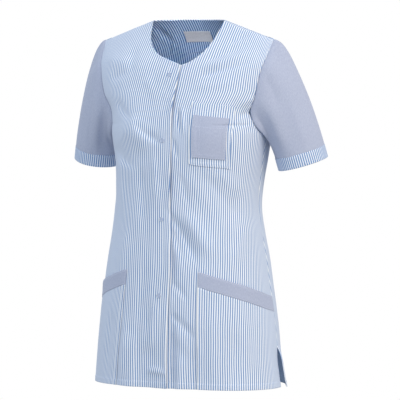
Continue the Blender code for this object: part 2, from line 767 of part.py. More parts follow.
def main():
    for item in list(bpy.context.scene.objects):
        bpy.data.objects.remove(item, do_unlink=True)
    group = collection_named("medical_tunic")
    right = build_front("front_right", -1, NECKLINE_RIGHT, group)
    left = build_front("front_left", 1, NECKLINE_LEFT, group)
    back = build_back(group)
    build_neck_facing(back, group)
    build_label(back, group)
    chest = (row_index("pocket_bottom"), row_index("pocket_top"))
    build_patch("chest_pocket", left, chest, (POCKET_COLUMN, CHEST_END_COLUMN), 1, STRIPED, group)
    pen = (row_index("pen_bottom"), row_index("pen_top"))
    build_patch("chest_pen_pocket", left, pen, PEN_COLUMNS, 2, CHAMBRAY, group)
    build_hip_pocket(1, left, group)
    build_hip_pocket(-1, right, group)
    build_sleeve(1, left, back, group)
    build_sleeve(-1, right, back, group)
    for number, height in enumerate(STUD_HEIGHTS, 1):
        build_stud(number, height, group)


main()
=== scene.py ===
import math

import bmesh
import bpy
import numpy as np
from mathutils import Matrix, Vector


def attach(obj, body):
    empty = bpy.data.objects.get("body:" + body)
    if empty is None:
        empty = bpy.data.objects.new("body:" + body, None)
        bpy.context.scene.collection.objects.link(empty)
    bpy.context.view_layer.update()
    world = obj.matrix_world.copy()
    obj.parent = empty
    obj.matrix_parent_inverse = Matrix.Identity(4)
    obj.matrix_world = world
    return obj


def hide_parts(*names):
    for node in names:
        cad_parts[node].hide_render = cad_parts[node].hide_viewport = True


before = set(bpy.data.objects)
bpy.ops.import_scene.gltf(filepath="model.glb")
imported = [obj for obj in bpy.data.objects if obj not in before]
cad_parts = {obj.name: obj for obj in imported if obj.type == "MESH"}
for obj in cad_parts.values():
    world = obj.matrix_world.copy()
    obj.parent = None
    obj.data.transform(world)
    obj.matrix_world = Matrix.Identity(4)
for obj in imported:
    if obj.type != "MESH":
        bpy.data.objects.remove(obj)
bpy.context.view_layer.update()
print("frame loaded:", len(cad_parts), "nodes")


# Camera and room

camera = {
    "azimuth": 27.0,  # degrees round the tunic, from its front towards its left side
    "elevation": 3.0,
    "distance": 6.0,
    "lookAt": (0.0, 0.0, -0.372),
    "lookAtPixel": (189.3, 203.0),
    "imagePixels": 400,
    "metresPerPixel": 0.00204,
    "sensor": 36.0,
}

room = {
    "floorHeight": -1.40,
    "floorSize": 60.0,
    "floorColour": (0.45, 0.45, 0.45),
    "floorRoughness": 0.9,
    "skyAbove": 0.94,  # strength of the light from overhead, and from below
    "skyBelow": 0.72,
    "skyColour": (0.88, 0.94, 1.0),
}

lamps = (  # to the right, up and towards the camera, in metres; then size, watts and colour
    {"name": "key", "place": (1.65, 0.95, 1.9), "size": 1.1, "watts": 35.0, "colour": (1.0, 0.88, 0.74)},
    {"name": "fill", "place": (-2.0, 1.1, 1.5), "size": 1.8, "watts": 14.0, "colour": (0.92, 0.96, 1.0)},
    # what the thin cloth lets through to the inside of the neck
    {"name": "inside", "place": (0.25, 0.60, 1.15), "size": 0.08, "watts": 0.07,
     "colour": (0.86, 0.88, 0.95), "aim": (0.0, 0.0, -0.03), "spread": 14.0, "inside": True},
)
insides = bpy.data.collections.new("insides")


def newObject(name, data):
    item = bpy.data.objects.new(name, data)
    bpy.context.scene.collection.objects.link(item)
    return item


def viewAxes(s):
    turn, lift = math.radians(s["azimuth"]), math.radians(s["elevation"])
    back = Vector((math.sin(turn) * math.cos(lift), -math.cos(turn) * math.cos(lift), math.sin(lift)))
    right = Vector((math.cos(turn), math.sin(turn), 0))
    return right, back.cross(right), back


def makeCamera(s):
    right, up, back = viewAxes(s)
    middle = s["imagePixels"] / 2
    aim = Vector(s["lookAt"])
    aim += right * (middle - s["lookAtPixel"][0]) * s["metresPerPixel"]
    aim += up * (s["lookAtPixel"][1] - middle) * s["metresPerPixel"]
    data = bpy.data.cameras.new("camera")
    data.sensor_width = s["sensor"]
    data.lens = s["sensor"] * s["distance"] / (s["imagePixels"] * s["metresPerPixel"])
    holder = newObject("camera", data)
    holder.location = aim + back * s["distance"]
    holder.rotation_euler = (-back).to_track_quat("-Z", "Y").to_euler()
    bpy.context.scene.camera = holder


def makeLamps(rows, s):
    right, up, back = viewAxes(s)
    middle = Vector(s["lookAt"])
    for row in rows:
        data = bpy.data.lights.new(row["name"], "AREA")
        data.shape = "DISK"
        data.size = row["size"]
        data.energy = row["watts"]
        data.color = row["colour"]
        data.spread = math.radians(row.get("spread", 180.0))
        lamp = newObject(row["name"], data)
        lamp.location = middle + right * row["place"][0] + up * row["place"][1] + back * row["place"][2]
        aim = Vector(row.get("aim", s["lookAt"]))
        lamp.rotation_euler = (aim - lamp.location).to_track_quat("-Z", "Y").to_euler()
        if row.get("inside"):
            lamp.light_linking.receiver_collection = insides


def shownToCamera(tree, lit, plain, surface):
    # one shader gives the light and the other is what the camera sees
    rays = tree.nodes.new("ShaderNodeLightPath")
    pick = tree.nodes.new("ShaderNodeMixShader")
    tree.links.new(rays.outputs["Is Camera Ray"], pick.inputs["Fac"])
    tree.links.new(lit.outputs[0], pick.inputs[1])
    tree.links.new(plain.outputs[0], pick.inputs[2])
    tree.links.new(pick.outputs[0], surface)


def makeSky(s):
    world = bpy.data.worlds.new("sky")
    world.use_nodes = True
    tree = world.node_tree
    tree.nodes.clear()
    seen, light = tree.nodes.new("ShaderNodeBackground"), tree.nodes.new("ShaderNodeBackground")
    seen.inputs["Color"].default_value = (1, 1, 1, 1)
    light.inputs["Color"].default_value = (*s["skyColour"], 1)
    place = tree.nodes.new("ShaderNodeTexCoord")
    parts = tree.nodes.new("ShaderNodeSeparateXYZ")
    strength = tree.nodes.new("ShaderNodeMapRange")
    tree.links.new(place.outputs["Generated"], parts.inputs[0])
    tree.links.new(parts.outputs["Z"], strength.inputs["Value"])
    for key, value in (("From Min", -1), ("From Max", 1),
                       ("To Min", s["skyBelow"]), ("To Max", s["skyAbove"])):
        strength.inputs[key].default_value = value
    tree.links.new(strength.outputs["Result"], light.inputs["Strength"])
    shownToCamera(tree, light, seen, tree.nodes.new("ShaderNodeOutputWorld").inputs["Surface"])
    bpy.context.scene.world = world
    bpy.context.scene.view_settings.view_transform = "Standard"


def makeFloor(s):
    half = s["floorSize"] / 2
    corners = ((-half, -half), (half, -half), (half, half), (-half, half))
    mesh = bpy.data.meshes.new("floor")
    mesh.from_pydata([(x, y, s["floorHeight"]) for x, y in corners], [], [(0, 1, 2, 3)])
    paint = bpy.data.materials.new("floor")
    paint.use_nodes = True
    tree = paint.node_tree
    shader = tree.nodes["Principled BSDF"]
    shader.inputs["Base Color"].default_value = (*s["floorColour"], 1)
    shader.inputs["Roughness"].default_value = s["floorRoughness"]
    plain = tree.nodes.new("ShaderNodeEmission")  # the room is white to the camera, as behind the tunic
    shownToCamera(tree, shader, plain, tree.nodes["Material Output"].inputs["Surface"])
    mesh.materials.append(paint)
    newObject("floor", mesh)


makeCamera(camera)
makeLamps(lamps, camera)
makeSky(room)
makeFloor(room)
print("camera, lamps and room ready")


# The worn form, as the solids have it

body = {
    "height": (0.032, 0.0, -0.051, -0.092, -0.146, -0.181, -0.206, -0.230, -0.280, -0.330, -0.380, -0.430,
               -0.480, -0.540, -0.613, -0.680, -0.740),
    "halfWidth": (0.203, 0.203, 0.203, 0.203, 0.191, 0.170, 0.167, 0.168, 0.160, 0.155, 0.155, 0.161,
                  0.170, 0.178, 0.188, 0.194, 0.201),
    "front": (0.002, 0.012, 0.045, 0.077, 0.096, 0.105, 0.110, 0.114, 0.118, 0.119, 0.120, 0.123,
              0.127, 0.131, 0.135, 0.137, 0.138),
    "back": (0.044, 0.057, 0.084, 0.100, 0.110, 0.113, 0.113, 0.112, 0.108, 0.101, 0.097, 0.103,
             0.112, 0.121, 0.129, 0.135, 0.140),
    "sway": (0.0, 0.0, 0.0, 0.0, 0.001, 0.003, 0.005, 0.006, 0.006, 0.003, 0.0, 0.0,
             0.0, 0.0, 0.0, 0.0, 0.002),
    "sideTurn": (90, 90, 90, 90, 90, 90, 90, 90, 91, 92, 93, 94, 94.5, 95, 95, 95, 95),
    "power": 2.0 / 2.3,
    "neckX": 0.081,
    "shoulderX": 0.192,
    "shoulderSlope": 0.35,
    "shoulderRounding": 0.060,
    "bust": 0.010,
    "bustX": 0.088,
    "bustZ": -0.222,
    "bustWidth": 0.055,
    "bustHeight": 0.062,
    "turnStep": 0.5,
    "heightStep": 0.0006,
    "ridgeNear": 0.0008,
}

armhole = {
    "height": (-0.039, -0.061, -0.084, -0.107, -0.131, -0.155, -0.181, -0.206, -0.221, -0.2275, -0.230),
    "frontTurn": (70.0, 67.2, 64.1, 62.0, 62.0, 63.5, 67.0, 72.0, 78.5, 84.5, 90.0),
    "backTurn": (110.0, 112.5, 115.0, 116.5, 115.5, 115.0, 112.5, 108.5, 103.0, 97.0, 90.0),
}

rows = (  # name, and the height at the front's middle, at the side and at the back's middle
    ("hem", -0.737, -0.740, -0.740),
    ("", -0.705, -0.705, -0.705),
    ("slit", -0.662, -0.665, -0.662),
    ("", -0.618, -0.638, -0.625),
    ("", -0.575, -0.612, -0.590),
    ("bandBottom", -0.533, -0.588, -0.556),
    ("bandTop", -0.503, -0.558, -0.526),
    ("", -0.470, -0.515, -0.490),
    ("waist", -0.436, -0.471, -0.452),
    ("", -0.401, -0.428, -0.415),
    ("", -0.366, -0.387, -0.377),
    ("", -0.330, -0.348, -0.340),
    ("pocketBottom", -0.287, -0.304, -0.296),
    ("penBottom", -0.271, -0.287, -0.279),
    ("", -0.244, -0.259, -0.252),
    ("underarm", -0.219, -0.230, -0.226),
    ("", -0.208, -0.2275, -0.212),
    ("", -0.198, -0.221, -0.200),
    ("penTop", -0.188, -0.206, -0.187),
    ("pocketTop", -0.163, -0.181, -0.160),
    ("chest", -0.140, -0.155, -0.132),
)

cut = {
    "lap": 0.016,
    "lapStart": -0.038,
    "lapRun": 0.020,
    "columns": 12,
    "pocketColumn": 4,
    "chestColumnX": (-0.016, 0.0, 0.016, 0.038, 0.060),
    "hipColumnX": (-0.016, 0.0, 0.016, 0.048),
    "hipPocketX": {1: (0.081, 0.084), -1: (0.081, 0.103)},
    "chestPocketX": (0.141, 0.132),
    "chestPocketShares": (0.0, 0.09, 0.35, 0.62, 0.90, 1.0),
    "chestEndColumn": 9,
    "penColumns": (5, 8),
    "armholeAbove": (-0.136, -0.117, -0.098, -0.078, -0.058, -0.039),
    "necklineLeft": ((-0.016, -0.101), (0.0, -0.097), (0.016, -0.092), (0.040, -0.082), (0.061, -0.062),
                     (0.073, -0.036)),
    "necklineRight": ((-0.016, -0.092), (0.0, -0.086), (0.016, -0.080), (0.041, -0.069), (0.060, -0.053),
                      (0.074, -0.030)),
    "shoulderColumns": 6,
    "ridgeReach": 0.018,  # how far below the shoulder's edge the cloth still follows it
    "backSideColumns": 6,
    "backNeckX": (0.0765, 0.066, 0.043, 0.011, 0.0),
    "backNeckRise": 0.002,
    "slitTop": -0.665,
    "hem": -0.740,
    "slitSpread": 0.0035,
    "seamGap": 0.0003,
    "lapGap": 0.0006,
    "solidCloth": 0.0012,  # wall of the solids, which sets how far apart the layers lie
    "cloth": 0.0007,  # wall of the fine cloth
}


def curveBetween(t, a, leave, b, arrive):
    # a cubic from a to b, with its direction given at both ends
    start = (1 + 2 * t) * (1 - t) ** 2 * a + t * (1 - t) ** 2 * leave
    return start + t * t * (3 - 2 * t) * b - t * t * (1 - t) * arrive


def lengthAlong(points, axis):
    # how far each place of a grid lies from the first one, along one of the grid's axes
    steps = np.linalg.norm(np.diff(points, axis=axis), axis=-1)
    return np.pad(np.cumsum(steps, axis=axis), [(int(k == axis), 0) for k in range(steps.ndim)])


def profile(at, value):
    order = np.argsort(at)
    at, value = np.array(at, float)[order], np.array(value, float)[order]
    slope = np.gradient(value, at)
    slope[1:-1] = (value[2:] - value[:-2]) / (at[2:] - at[:-2])

    def read(x):
        x = np.clip(x, at[0], at[-1])
        i = np.clip(np.searchsorted(at, x, side="right") - 1, 0, len(at) - 2)
        span = at[i + 1] - at[i]
        ahead = span * slope[i + 1]
        return curveBetween((x - at[i]) / span, value[i], span * slope[i], value[i + 1], ahead)

    return read


halfWidth, frontDepth, backDepth, sway, sideTurn = (
    profile(body["height"], body[key]) for key in ("halfWidth", "front", "back", "sway", "sideTurn"))
armholeFront = profile(armhole["height"], armhole["frontTurn"])
armholeBack = profile(armhole["height"], armhole["backTurn"])


def ease(t):
    t = np.clip(t, 0.0, 1.0)
    return t * t * (3 - 2 * t)


def mix(a, b, t):
    return a + (b - a) * t


def ridgeHeight(x):
    return body["shoulderSlope"] * (body["neckX"] - np.abs(x))


# The solids' own folds: from (x, z) to (x, z), the rise (a trough when negative) and the half width
bigFolds = {
    "front": (
        (0.020, -0.395, 0.085, -0.500, -0.0040, 0.024),
        (0.045, -0.380, 0.115, -0.485, 0.0035, 0.020),
        (0.060, -0.310, 0.135, -0.420, -0.0030, 0.026),
        (-0.110, -0.203, -0.020, -0.250, 0.0035, 0.019),
        (-0.115, -0.240, -0.030, -0.290, -0.0035, 0.022),
        (-0.060, -0.620, -0.070, -0.745, 0.0050, 0.026),
        (-0.025, -0.640, -0.028, -0.745, -0.0045, 0.022),
        (0.060, -0.600, 0.075, -0.745, -0.0040, 0.030),
    ),
    "back": (
        (-0.060, -0.330, -0.080, -0.460, 0.0040, 0.022),
        (0.055, -0.340, 0.075, -0.450, 0.0035, 0.024),
        (-0.010, -0.360, 0.000, -0.480, -0.0035, 0.030),
        (-0.095, -0.560, -0.110, -0.745, 0.0050, 0.030),
        (0.085, -0.580, 0.100, -0.745, 0.0050, 0.032),
        (0.000, -0.600, 0.005, -0.745, -0.0045, 0.036),
    ),
}
foldFade = 0.35  # share of a fold's length over which it rises from nothing
foldSpread = 0.45  # how squarely a place must face forwards or back for the folds to reach their full height


def bigFoldRise(face, x, z):
    rise = np.zeros_like(x)
    for x1, z1, x2, z2, height, width in bigFolds[face]:
        length = math.hypot(x2 - x1, z2 - z1)
        along = ((x - x1) * (x2 - x1) + (z - z1) * (z2 - z1)) / length
        beside = ((x - x1) * (z2 - z1) - (z - z1) * (x2 - x1)) / length
        end = 1.0 if z2 <= cut["hem"] else 1.0 - foldFade
        fade = ease(along / (foldFade * length)) * (1 - ease((along / length - end) / foldFade))
        rise += height * fade * np.exp(-((beside / width) ** 2))
    return rise


def formPoint(turn, height):
    facing, across = np.cos(np.radians(turn)), np.sin(np.radians(turn))
    x = sway(height) + halfWidth(height) * np.copysign(np.abs(across) ** body["power"], across)
    drop = np.maximum(ridgeHeight(x) - height, 0.0) / body["shoulderRounding"]
    roll = np.sqrt(1 - (1 - np.minimum(drop, 1.0)) ** 2)
    depth = np.where(facing > 0, frontDepth(height), backDepth(height))
    y = -np.copysign(depth * np.abs(facing) ** body["power"] * roll, facing)
    spread = ease(np.abs(facing) / foldSpread)
    up = (height - body["bustZ"]) / body["bustHeight"]
    bust = sum(np.exp(-(((x - s * body["bustX"]) / body["bustWidth"]) ** 2) - up * up) for s in (-1, 1))
    front = bigFoldRise("front", x, height) + body["bust"] * bust
    y = y + np.where(facing > 0, -spread * front, spread * bigFoldRise("back", x, height))
    return np.stack([x, y, height + 0 * x], axis=-1)


def turnAt(x, height):
    reach = x - sway(height)
    share = np.minimum(np.abs(reach) / halfWidth(height), 1.0)
    return np.copysign(np.degrees(np.arcsin(share ** (1 / body["power"]))), reach)


def unit(v):
    return v / np.maximum(np.linalg.norm(v, axis=-1, keepdims=True), 1e-12)


def formNormal(turn, height):
    at = formPoint(turn, height)
    step, rise = body["turnStep"], body["heightStep"]
    roundBody = formPoint(turn + step, height) - formPoint(turn - step, height)
    up = formPoint(turn, height + rise) - formPoint(turn, height - rise)
    normal = unit(np.cross(roundBody, up))
    outward = np.copysign(1.0, np.sin(np.radians(turn)))
    upright = np.stack([body["shoulderSlope"] * outward, 0 * turn, 1 + 0 * turn], axis=-1)
    near = ridgeHeight(at[..., 0]) - height < body["ridgeNear"]
    return np.where(near[..., None], unit(upright), normal)


# Grids of places on the form, as (turn, height) pairs

def rowIndex(name):
    return [row[0] for row in rows].index(name)


def slitTurn(height):
    share = max(cut["slitTop"] - height, 0.0) / (cut["slitTop"] - cut["hem"])
    return math.degrees((cut["slitSpread"] * share + cut["seamGap"] / 2) / backDepth(height))


def frontRow(row, side):
    front, edge = row[1], row[2]
    waist, pocketBottom, pocketTop, bandTop = (
        rows[rowIndex(name)][1] for name in ("waist", "pocketBottom", "pocketTop", "bandTop"))
    toChest = ease((front - waist) / (pocketBottom - waist))
    upPocket = (front - pocketBottom) / (pocketTop - pocketBottom)
    outer = mix(cut["chestPocketX"][1], cut["chestPocketX"][0], max(upPocket, 0.0))
    downHip = (bandTop - front) / (bandTop - cut["hem"])
    inner = mix(*cut["hipPocketX"][side], max(downHip, 0.0))
    if edge >= armhole["height"][-1]:
        end = float(armholeFront(edge)) * side
    else:
        end = (float(sideTurn(edge)) - slitTurn(edge)) * side
    steps = cut["columns"] - cut["pocketColumn"]
    heights = [mix(front, edge, max(c - cut["pocketColumn"], 0) / steps) for c in range(cut["columns"] + 1)]
    chestX = list(cut["chestColumnX"][:-1])
    chestX += [mix(cut["chestColumnX"][-1], outer, share) for share in cut["chestPocketShares"]]
    chest = [float(turnAt(side * x, z)) for x, z in zip(chestX, heights)]
    beyond = cut["columns"] - cut["chestEndColumn"]
    chest += [mix(chest[cut["chestEndColumn"]], end, step / beyond) for step in range(1, beyond + 1)]
    hip = [float(turnAt(side * x, z)) for x, z in zip((*cut["hipColumnX"], inner), heights)]
    hip += [mix(hip[cut["pocketColumn"]], end, step / steps) for step in range(1, steps + 1)]
    return [(mix(h, c, toChest), z) for h, c, z in zip(hip, chest, heights)]


def shoulderNodes(count, back=False):
    nodes = []
    for step in range(count + 1):
        x = mix(body["neckX"], body["shoulderX"], step / count)
        turn = float(turnAt(x, ridgeHeight(x)))
        nodes.append((180 - turn if back else turn, float(ridgeHeight(x))))
    return nodes


def fan(base, top, sideNodes):
    made = []
    last = len(base) - 1
    for step, sideNode in enumerate(sideNodes, 1):
        t = step / len(sideNodes)
        line = []
        for column in range(last + 1):
            pull = (column / last) ** 2
            place = [mix(base[column][k], top[column][k], t) for k in (0, 1)]
            for k in (0, 1):
                place[k] += pull * (sideNode[k] - mix(base[last][k], top[last][k], t))
            line.append(tuple(place))
        made.append(line)
    return made


def frontGrid(side, neckline):
    grid = [frontRow(row, side) for row in rows]
    top = [(float(turnAt(side * x, z)), z) for x, z in neckline]
    top += [(side * turn, z) for turn, z in shoulderNodes(cut["shoulderColumns"])]
    edge = [(side * float(armholeFront(z)), z) for z in cut["armholeAbove"][:-1]] + [top[-1]]
    return np.array(grid + fan(grid[-1], top, edge))


def backGrid():
    half = cut["backSideColumns"] + len(cut["backNeckX"])
    grid = []
    for _, _, edge, middle in rows:
        above = edge >= armhole["height"][-1]
        start = float(armholeBack(edge)) if above else float(sideTurn(edge)) + slitTurn(edge)
        grid.append([(mix(start, 180.0, c / half), mix(edge, middle, float(ease(c / half))))
                     for c in range(half + 1)])
    top = shoulderNodes(cut["backSideColumns"], back=True)[::-1]
    for x in cut["backNeckX"]:
        z = cut["backNeckRise"] * math.sqrt(1 - (x / body["neckX"]) ** 2)
        top.append((180 - float(turnAt(x, z)), z))
    edge = [(float(armholeBack(z)), z) for z in cut["armholeAbove"][:-1]] + [top[0]]
    grid += [line[::-1] for line in fan(grid[-1][::-1], top[::-1], edge)]
    return np.array([line + [(360 - turn, z) for turn, z in line[-2::-1]] for line in grid])


# Refining: a cubic through the places of each row and column, with corners at the breaks

def cubicAlong(values, at, breaks=()):
    at = np.clip(np.asarray(at, float), 0, len(values) - 1)
    step = np.diff(values, axis=0)
    slope = np.empty_like(values)
    slope[1:-1] = (step[1:] + step[:-1]) / 2
    slope[0], slope[-1] = step[0], step[-1]
    after, before = slope.copy(), slope.copy()
    for k in breaks:
        after[k], before[k] = step[k], step[k - 1]
    i = np.minimum(at.astype(int), len(values) - 2)
    t = (at - i).reshape((-1,) + (1,) * (values.ndim - 1))
    return curveBetween(t, values[i], after[i], values[i + 1], before[i + 1])


def refine(panel, rowAt, columnAt):
    lines = cubicAlong(panel["grid"], rowAt, panel["rowBreaks"])
    return cubicAlong(lines.swapaxes(0, 1), columnAt, panel["columnBreaks"]).swapaxes(0, 1)


def fineParams(panel, low, high, axis, spacing, tight=(), tightSpacing=0.0012, tightReach=0.020):
    # places along one axis of a panel, nearer together beside its stitched ends
    dense = np.arange(low, high + 1e-9, 0.05)
    other = np.linspace(0, panel["grid"].shape[1 - axis] - 1, 9)
    places = refine(panel, dense, other) if axis == 0 else refine(panel, other, dense).swapaxes(0, 1)
    points = formPoint(places[..., 0], places[..., 1])
    gaps = np.linalg.norm(np.diff(points, axis=0), axis=-1).max(axis=1)
    length = np.concatenate([[0.0], np.cumsum(gaps)])
    marks = [0.0]
    while marks[-1] < length[-1]:
        near = ("low" in tight and marks[-1] < tightReach) or (
            "high" in tight and length[-1] - marks[-1] < tightReach)
        marks.append(marks[-1] + (tightSpacing if near else spacing))
    marks = np.array(marks) * length[-1] / marks[-1]
    fine = np.interp(marks, length, dense)
    for knot in range(math.ceil(low), math.floor(high) + 1):
        fine[np.abs(fine - knot).argmin()] = knot
    return np.unique(np.concatenate([[low], fine[1:-1], [high]]))


# Soft unevenness, the same on every piece that meets at a place

waves = {"seed": 11, "count": 14, "shortest": 0.030, "longest": 0.120,
         "upright": 0.45, "height": 0.0006}  # they are longer up and down than across
random = np.random.default_rng(waves["seed"])
waveTable = []
for _ in range(waves["count"]):
    direction = random.normal(size=3)
    direction[2] *= waves["upright"]
    length = math.exp(random.uniform(math.log(waves["shortest"]), math.log(waves["longest"])))
    waveTable.append((direction / np.linalg.norm(direction) * 2 * math.pi / length,
                      random.uniform(0, 2 * math.pi), length / waves["longest"]))


def unevenness(points):
    total = sum(size * np.sin(points @ wave + phase) for wave, phase, size in waveTable)
    return total / math.sqrt(waves["count"])


# From (x, z) to (x, z), how far the line bows to its left, the rise (a trough when negative), the half
# width, and how much steeper the left flank is than the right one
creases = {
    "front": (
        (-0.070, -0.203, 0.004, -0.250, 0.004, -0.0026, 0.0080, 0.2),
        (-0.088, -0.190, -0.014, -0.230, 0.005, 0.0013, 0.0120, 0.0),
        (-0.128, -0.158, -0.070, -0.204, 0.004, -0.0018, 0.0085, 0.2),
        (-0.152, -0.122, -0.084, -0.104, -0.003, -0.0016, 0.0095, 0.0),
        (-0.168, -0.080, -0.088, -0.082, 0.002, 0.0014, 0.0110, 0.0),
        (-0.104, -0.050, -0.086, -0.122, 0.002, -0.0013, 0.0110, 0.0),
        (-0.060, -0.112, -0.022, -0.165, -0.003, 0.0014, 0.0100, 0.0),
        (-0.138, -0.250, -0.052, -0.300, 0.006, -0.0022, 0.0120, 0.3),
        (-0.110, -0.262, -0.096, -0.402, 0.003, 0.0020, 0.0130, 0.0),
        (-0.056, -0.285, -0.044, -0.436, -0.002, -0.0018, 0.0110, 0.2),
        (-0.020, -0.262, -0.012, -0.392, 0.001, 0.0016, 0.0065, 0.0),
        (-0.138, -0.330, -0.126, -0.460, 0.002, -0.0016, 0.0100, 0.0),
        (-0.078, -0.410, -0.104, -0.545, 0.003, 0.0018, 0.0120, 0.0),
        (-0.036, -0.468, -0.050, -0.640, 0.002, -0.0018, 0.0105, 0.2),
        (-0.010, -0.556, -0.022, -0.664, 0.000, 0.0018, 0.0075, 0.0),
        (-0.022, -0.560, -0.034, -0.640, 0.000, -0.0013, 0.0060, 0.0),
        (-0.074, -0.590, -0.088, -0.760, 0.002, 0.0022, 0.0100, 0.0),
        (-0.045, -0.610, -0.050, -0.770, 0.002, -0.0022, 0.0085, 0.2),
        (-0.034, -0.704, 0.022, -0.709, -0.004, 0.0024, 0.0070, 0.0),
        (-0.118, -0.575, -0.134, -0.742, 0.002, -0.0016, 0.0120, 0.0),
        (0.002, -0.368, 0.084, -0.500, -0.004, -0.0030, 0.0090, 0.2),
        (0.044, -0.378, 0.112, -0.486, -0.004, 0.0018, 0.0120, 0.0),
        (0.019, -0.412, 0.052, -0.492, -0.002, -0.0018, 0.0055, 0.3),
        (0.020, -0.584, 0.084, -0.646, -0.003, -0.0024, 0.0080, 0.2),
        (0.022, -0.614, 0.076, -0.676, -0.003, 0.0013, 0.0110, 0.0),
        (0.022, -0.520, 0.064, -0.566, -0.003, -0.0018, 0.0060, 0.2),
        (0.026, -0.446, 0.032, -0.566, 0.001, -0.0022, 0.0075, 0.3),
        (0.030, -0.560, 0.031, -0.800, 0.001, -0.0036, 0.0080, 0.2),
        (0.046, -0.300, 0.136, -0.446, -0.006, 0.0022, 0.0170, 0.0),
        (0.082, -0.302, 0.152, -0.410, -0.004, -0.0015, 0.0110, 0.1),
        (0.108, -0.296, 0.158, -0.368, -0.003, 0.0011, 0.0100, 0.0),
        (0.034, -0.300, 0.060, -0.390, -0.003, -0.0014, 0.0080, 0.0),
        (0.027, -0.172, 0.042, -0.232, 0.001, -0.0024, 0.0042, 0.3),
        (0.036, -0.168, 0.050, -0.236, 0.001, 0.0018, 0.0048, 0.0),
        (0.022, -0.232, 0.038, -0.286, 0.001, -0.0016, 0.0050, 0.0),
        (0.058, -0.084, 0.164, -0.044, 0.002, -0.0018, 0.0080, 0.2),
        (0.058, -0.098, 0.168, -0.060, 0.002, 0.0018, 0.0070, 0.0),
        (0.050, -0.116, 0.178, -0.076, 0.003, -0.0026, 0.0068, 0.3),
        (0.048, -0.136, 0.160, -0.116, 0.003, 0.0014, 0.0090, 0.0),
        (0.100, -0.046, 0.150, -0.026, 0.001, -0.0014, 0.0050, 0.0),
        (0.176, -0.178, 0.140, -0.196, 0.001, -0.0026, 0.0060, 0.2),
        (0.172, -0.152, 0.146, -0.176, 0.001, 0.0018, 0.0060, 0.0),
        (0.172, -0.209, 0.100, -0.211, 0.000, -0.0012, 0.0022, 0.2),
        (-0.172, -0.209, -0.104, -0.211, 0.000, -0.0004, 0.0018, 0.2),
        (0.156, -0.320, 0.122, -0.426, 0.003, -0.0014, 0.0100, 0.0),
        (0.158, -0.390, 0.142, -0.512, 0.002, 0.0018, 0.0110, 0.0),
        (0.112, -0.560, 0.118, -0.760, 0.002, 0.0018, 0.0120, 0.0),
        (0.148, -0.610, 0.158, -0.760, 0.002, -0.0018, 0.0100, 0.2),
        (0.050, -0.660, 0.046, -0.780, 0.001, 0.0022, 0.0090, 0.0),
        (0.078, -0.640, 0.080, -0.780, 0.001, -0.0018, 0.0080, 0.2),
    ),
    "back": (
        (-0.150, -0.165, -0.066, -0.318, 0.008, -0.0026, 0.0120, 0.3),
        (0.142, -0.150, 0.058, -0.336, -0.008, -0.0024, 0.0130, 0.2),
        (-0.120, -0.190, -0.040, -0.300, 0.006, 0.0020, 0.0110, 0.0),
        (0.110, -0.160, 0.040, -0.280, -0.006, 0.0018, 0.0120, 0.0),
        (-0.060, -0.362, 0.030, -0.372, 0.003, -0.0026, 0.0085, 0.2),
        (-0.020, -0.386, 0.080, -0.378, -0.003, -0.0020, 0.0075, 0.0),
        (0.030, -0.346, 0.116, -0.352, 0.002, -0.0022, 0.0090, 0.2),
        (-0.130, -0.345, -0.050, -0.352, 0.003, 0.0016, 0.0085, 0.0),
        (-0.118, -0.370, -0.098, -0.560, 0.003, -0.0024, 0.0110, 0.2),
        (0.120, -0.380, 0.098, -0.600, -0.003, 0.0024, 0.0130, 0.0),
        (-0.034, -0.410, -0.048, -0.560, 0.002, 0.0018, 0.0120, 0.0),
        (0.034, -0.420, 0.050, -0.620, 0.002, -0.0022, 0.0130, 0.2),
        (-0.140, -0.560, -0.152, -0.780, 0.002, -0.0026, 0.0120, 0.2),
        (-0.062, -0.600, -0.066, -0.790, 0.002, -0.0022, 0.0120, 0.0),
        (0.046, -0.580, 0.050, -0.780, 0.002, 0.0024, 0.0130, 0.0),
        (0.146, -0.540, 0.160, -0.780, -0.002, -0.0024, 0.0120, 0.2),
        (-0.100, -0.030, -0.150, -0.110, 0.002, -0.0014, 0.0100, 0.0),
        (0.096, -0.026, 0.150, -0.120, -0.002, -0.0014, 0.0100, 0.0),
        (-0.116, -0.012, -0.080, -0.064, -0.002, -0.0013, 0.0070, 0.2),
        (-0.098, -0.006, -0.068, -0.056, -0.002, 0.0010, 0.0070, 0.0),
        (-0.082, -0.004, -0.062, -0.046, 0.002, -0.0009, 0.0055, 0.0),
    ),
}


creaseForm = {"start": 0.3, "end": 0.45, "narrow": 0.65, "strength": 1.6, "quietX": 0.215, "quietRun": 0.03}


def creaseRise(face, x, z):
    rise = np.zeros_like(x)
    for x1, z1, x2, z2, bow, height, width, lean in creases[face]:
        length = math.hypot(x2 - x1, z2 - z1)
        along = ((x - x1) * (x2 - x1) + (z - z1) * (z2 - z1)) / length ** 2
        beside = ((x - x1) * (z2 - z1) - (z - z1) * (x2 - x1)) / length
        beside = beside - bow * 4 * along * (1 - along)
        fade = ease(along / creaseForm["start"]) * ease((1 - along) / creaseForm["end"])
        reach = width * (1 - lean * np.tanh(beside / width)) * mix(creaseForm["narrow"], 1, fade)
        rise += height * fade * np.exp(-((beside / reach) ** 2))
    return creaseForm["strength"] * rise


def clothRise(face, points):
    x, z = points[..., 0], points[..., 2]
    quiet = ease((creaseForm["quietX"] - np.abs(x)) / creaseForm["quietRun"])
    return (creaseRise(face, x, z) + waves["height"] * unevenness(points)) * quiet


# Cloth walls

def surfaceNormals(points, toward, ring=False):
    if ring:
        wrapped = np.concatenate([points[:, -1:], points, points[:, :1]], axis=1)
        acrossGrid = wrapped[:, 2:] - wrapped[:, :-2]
    else:
        acrossGrid = np.gradient(points, axis=1)
    normal = unit(np.cross(acrossGrid, np.gradient(points, axis=0)))
    return normal * np.sign(np.sum(normal * toward, axis=-1).mean())


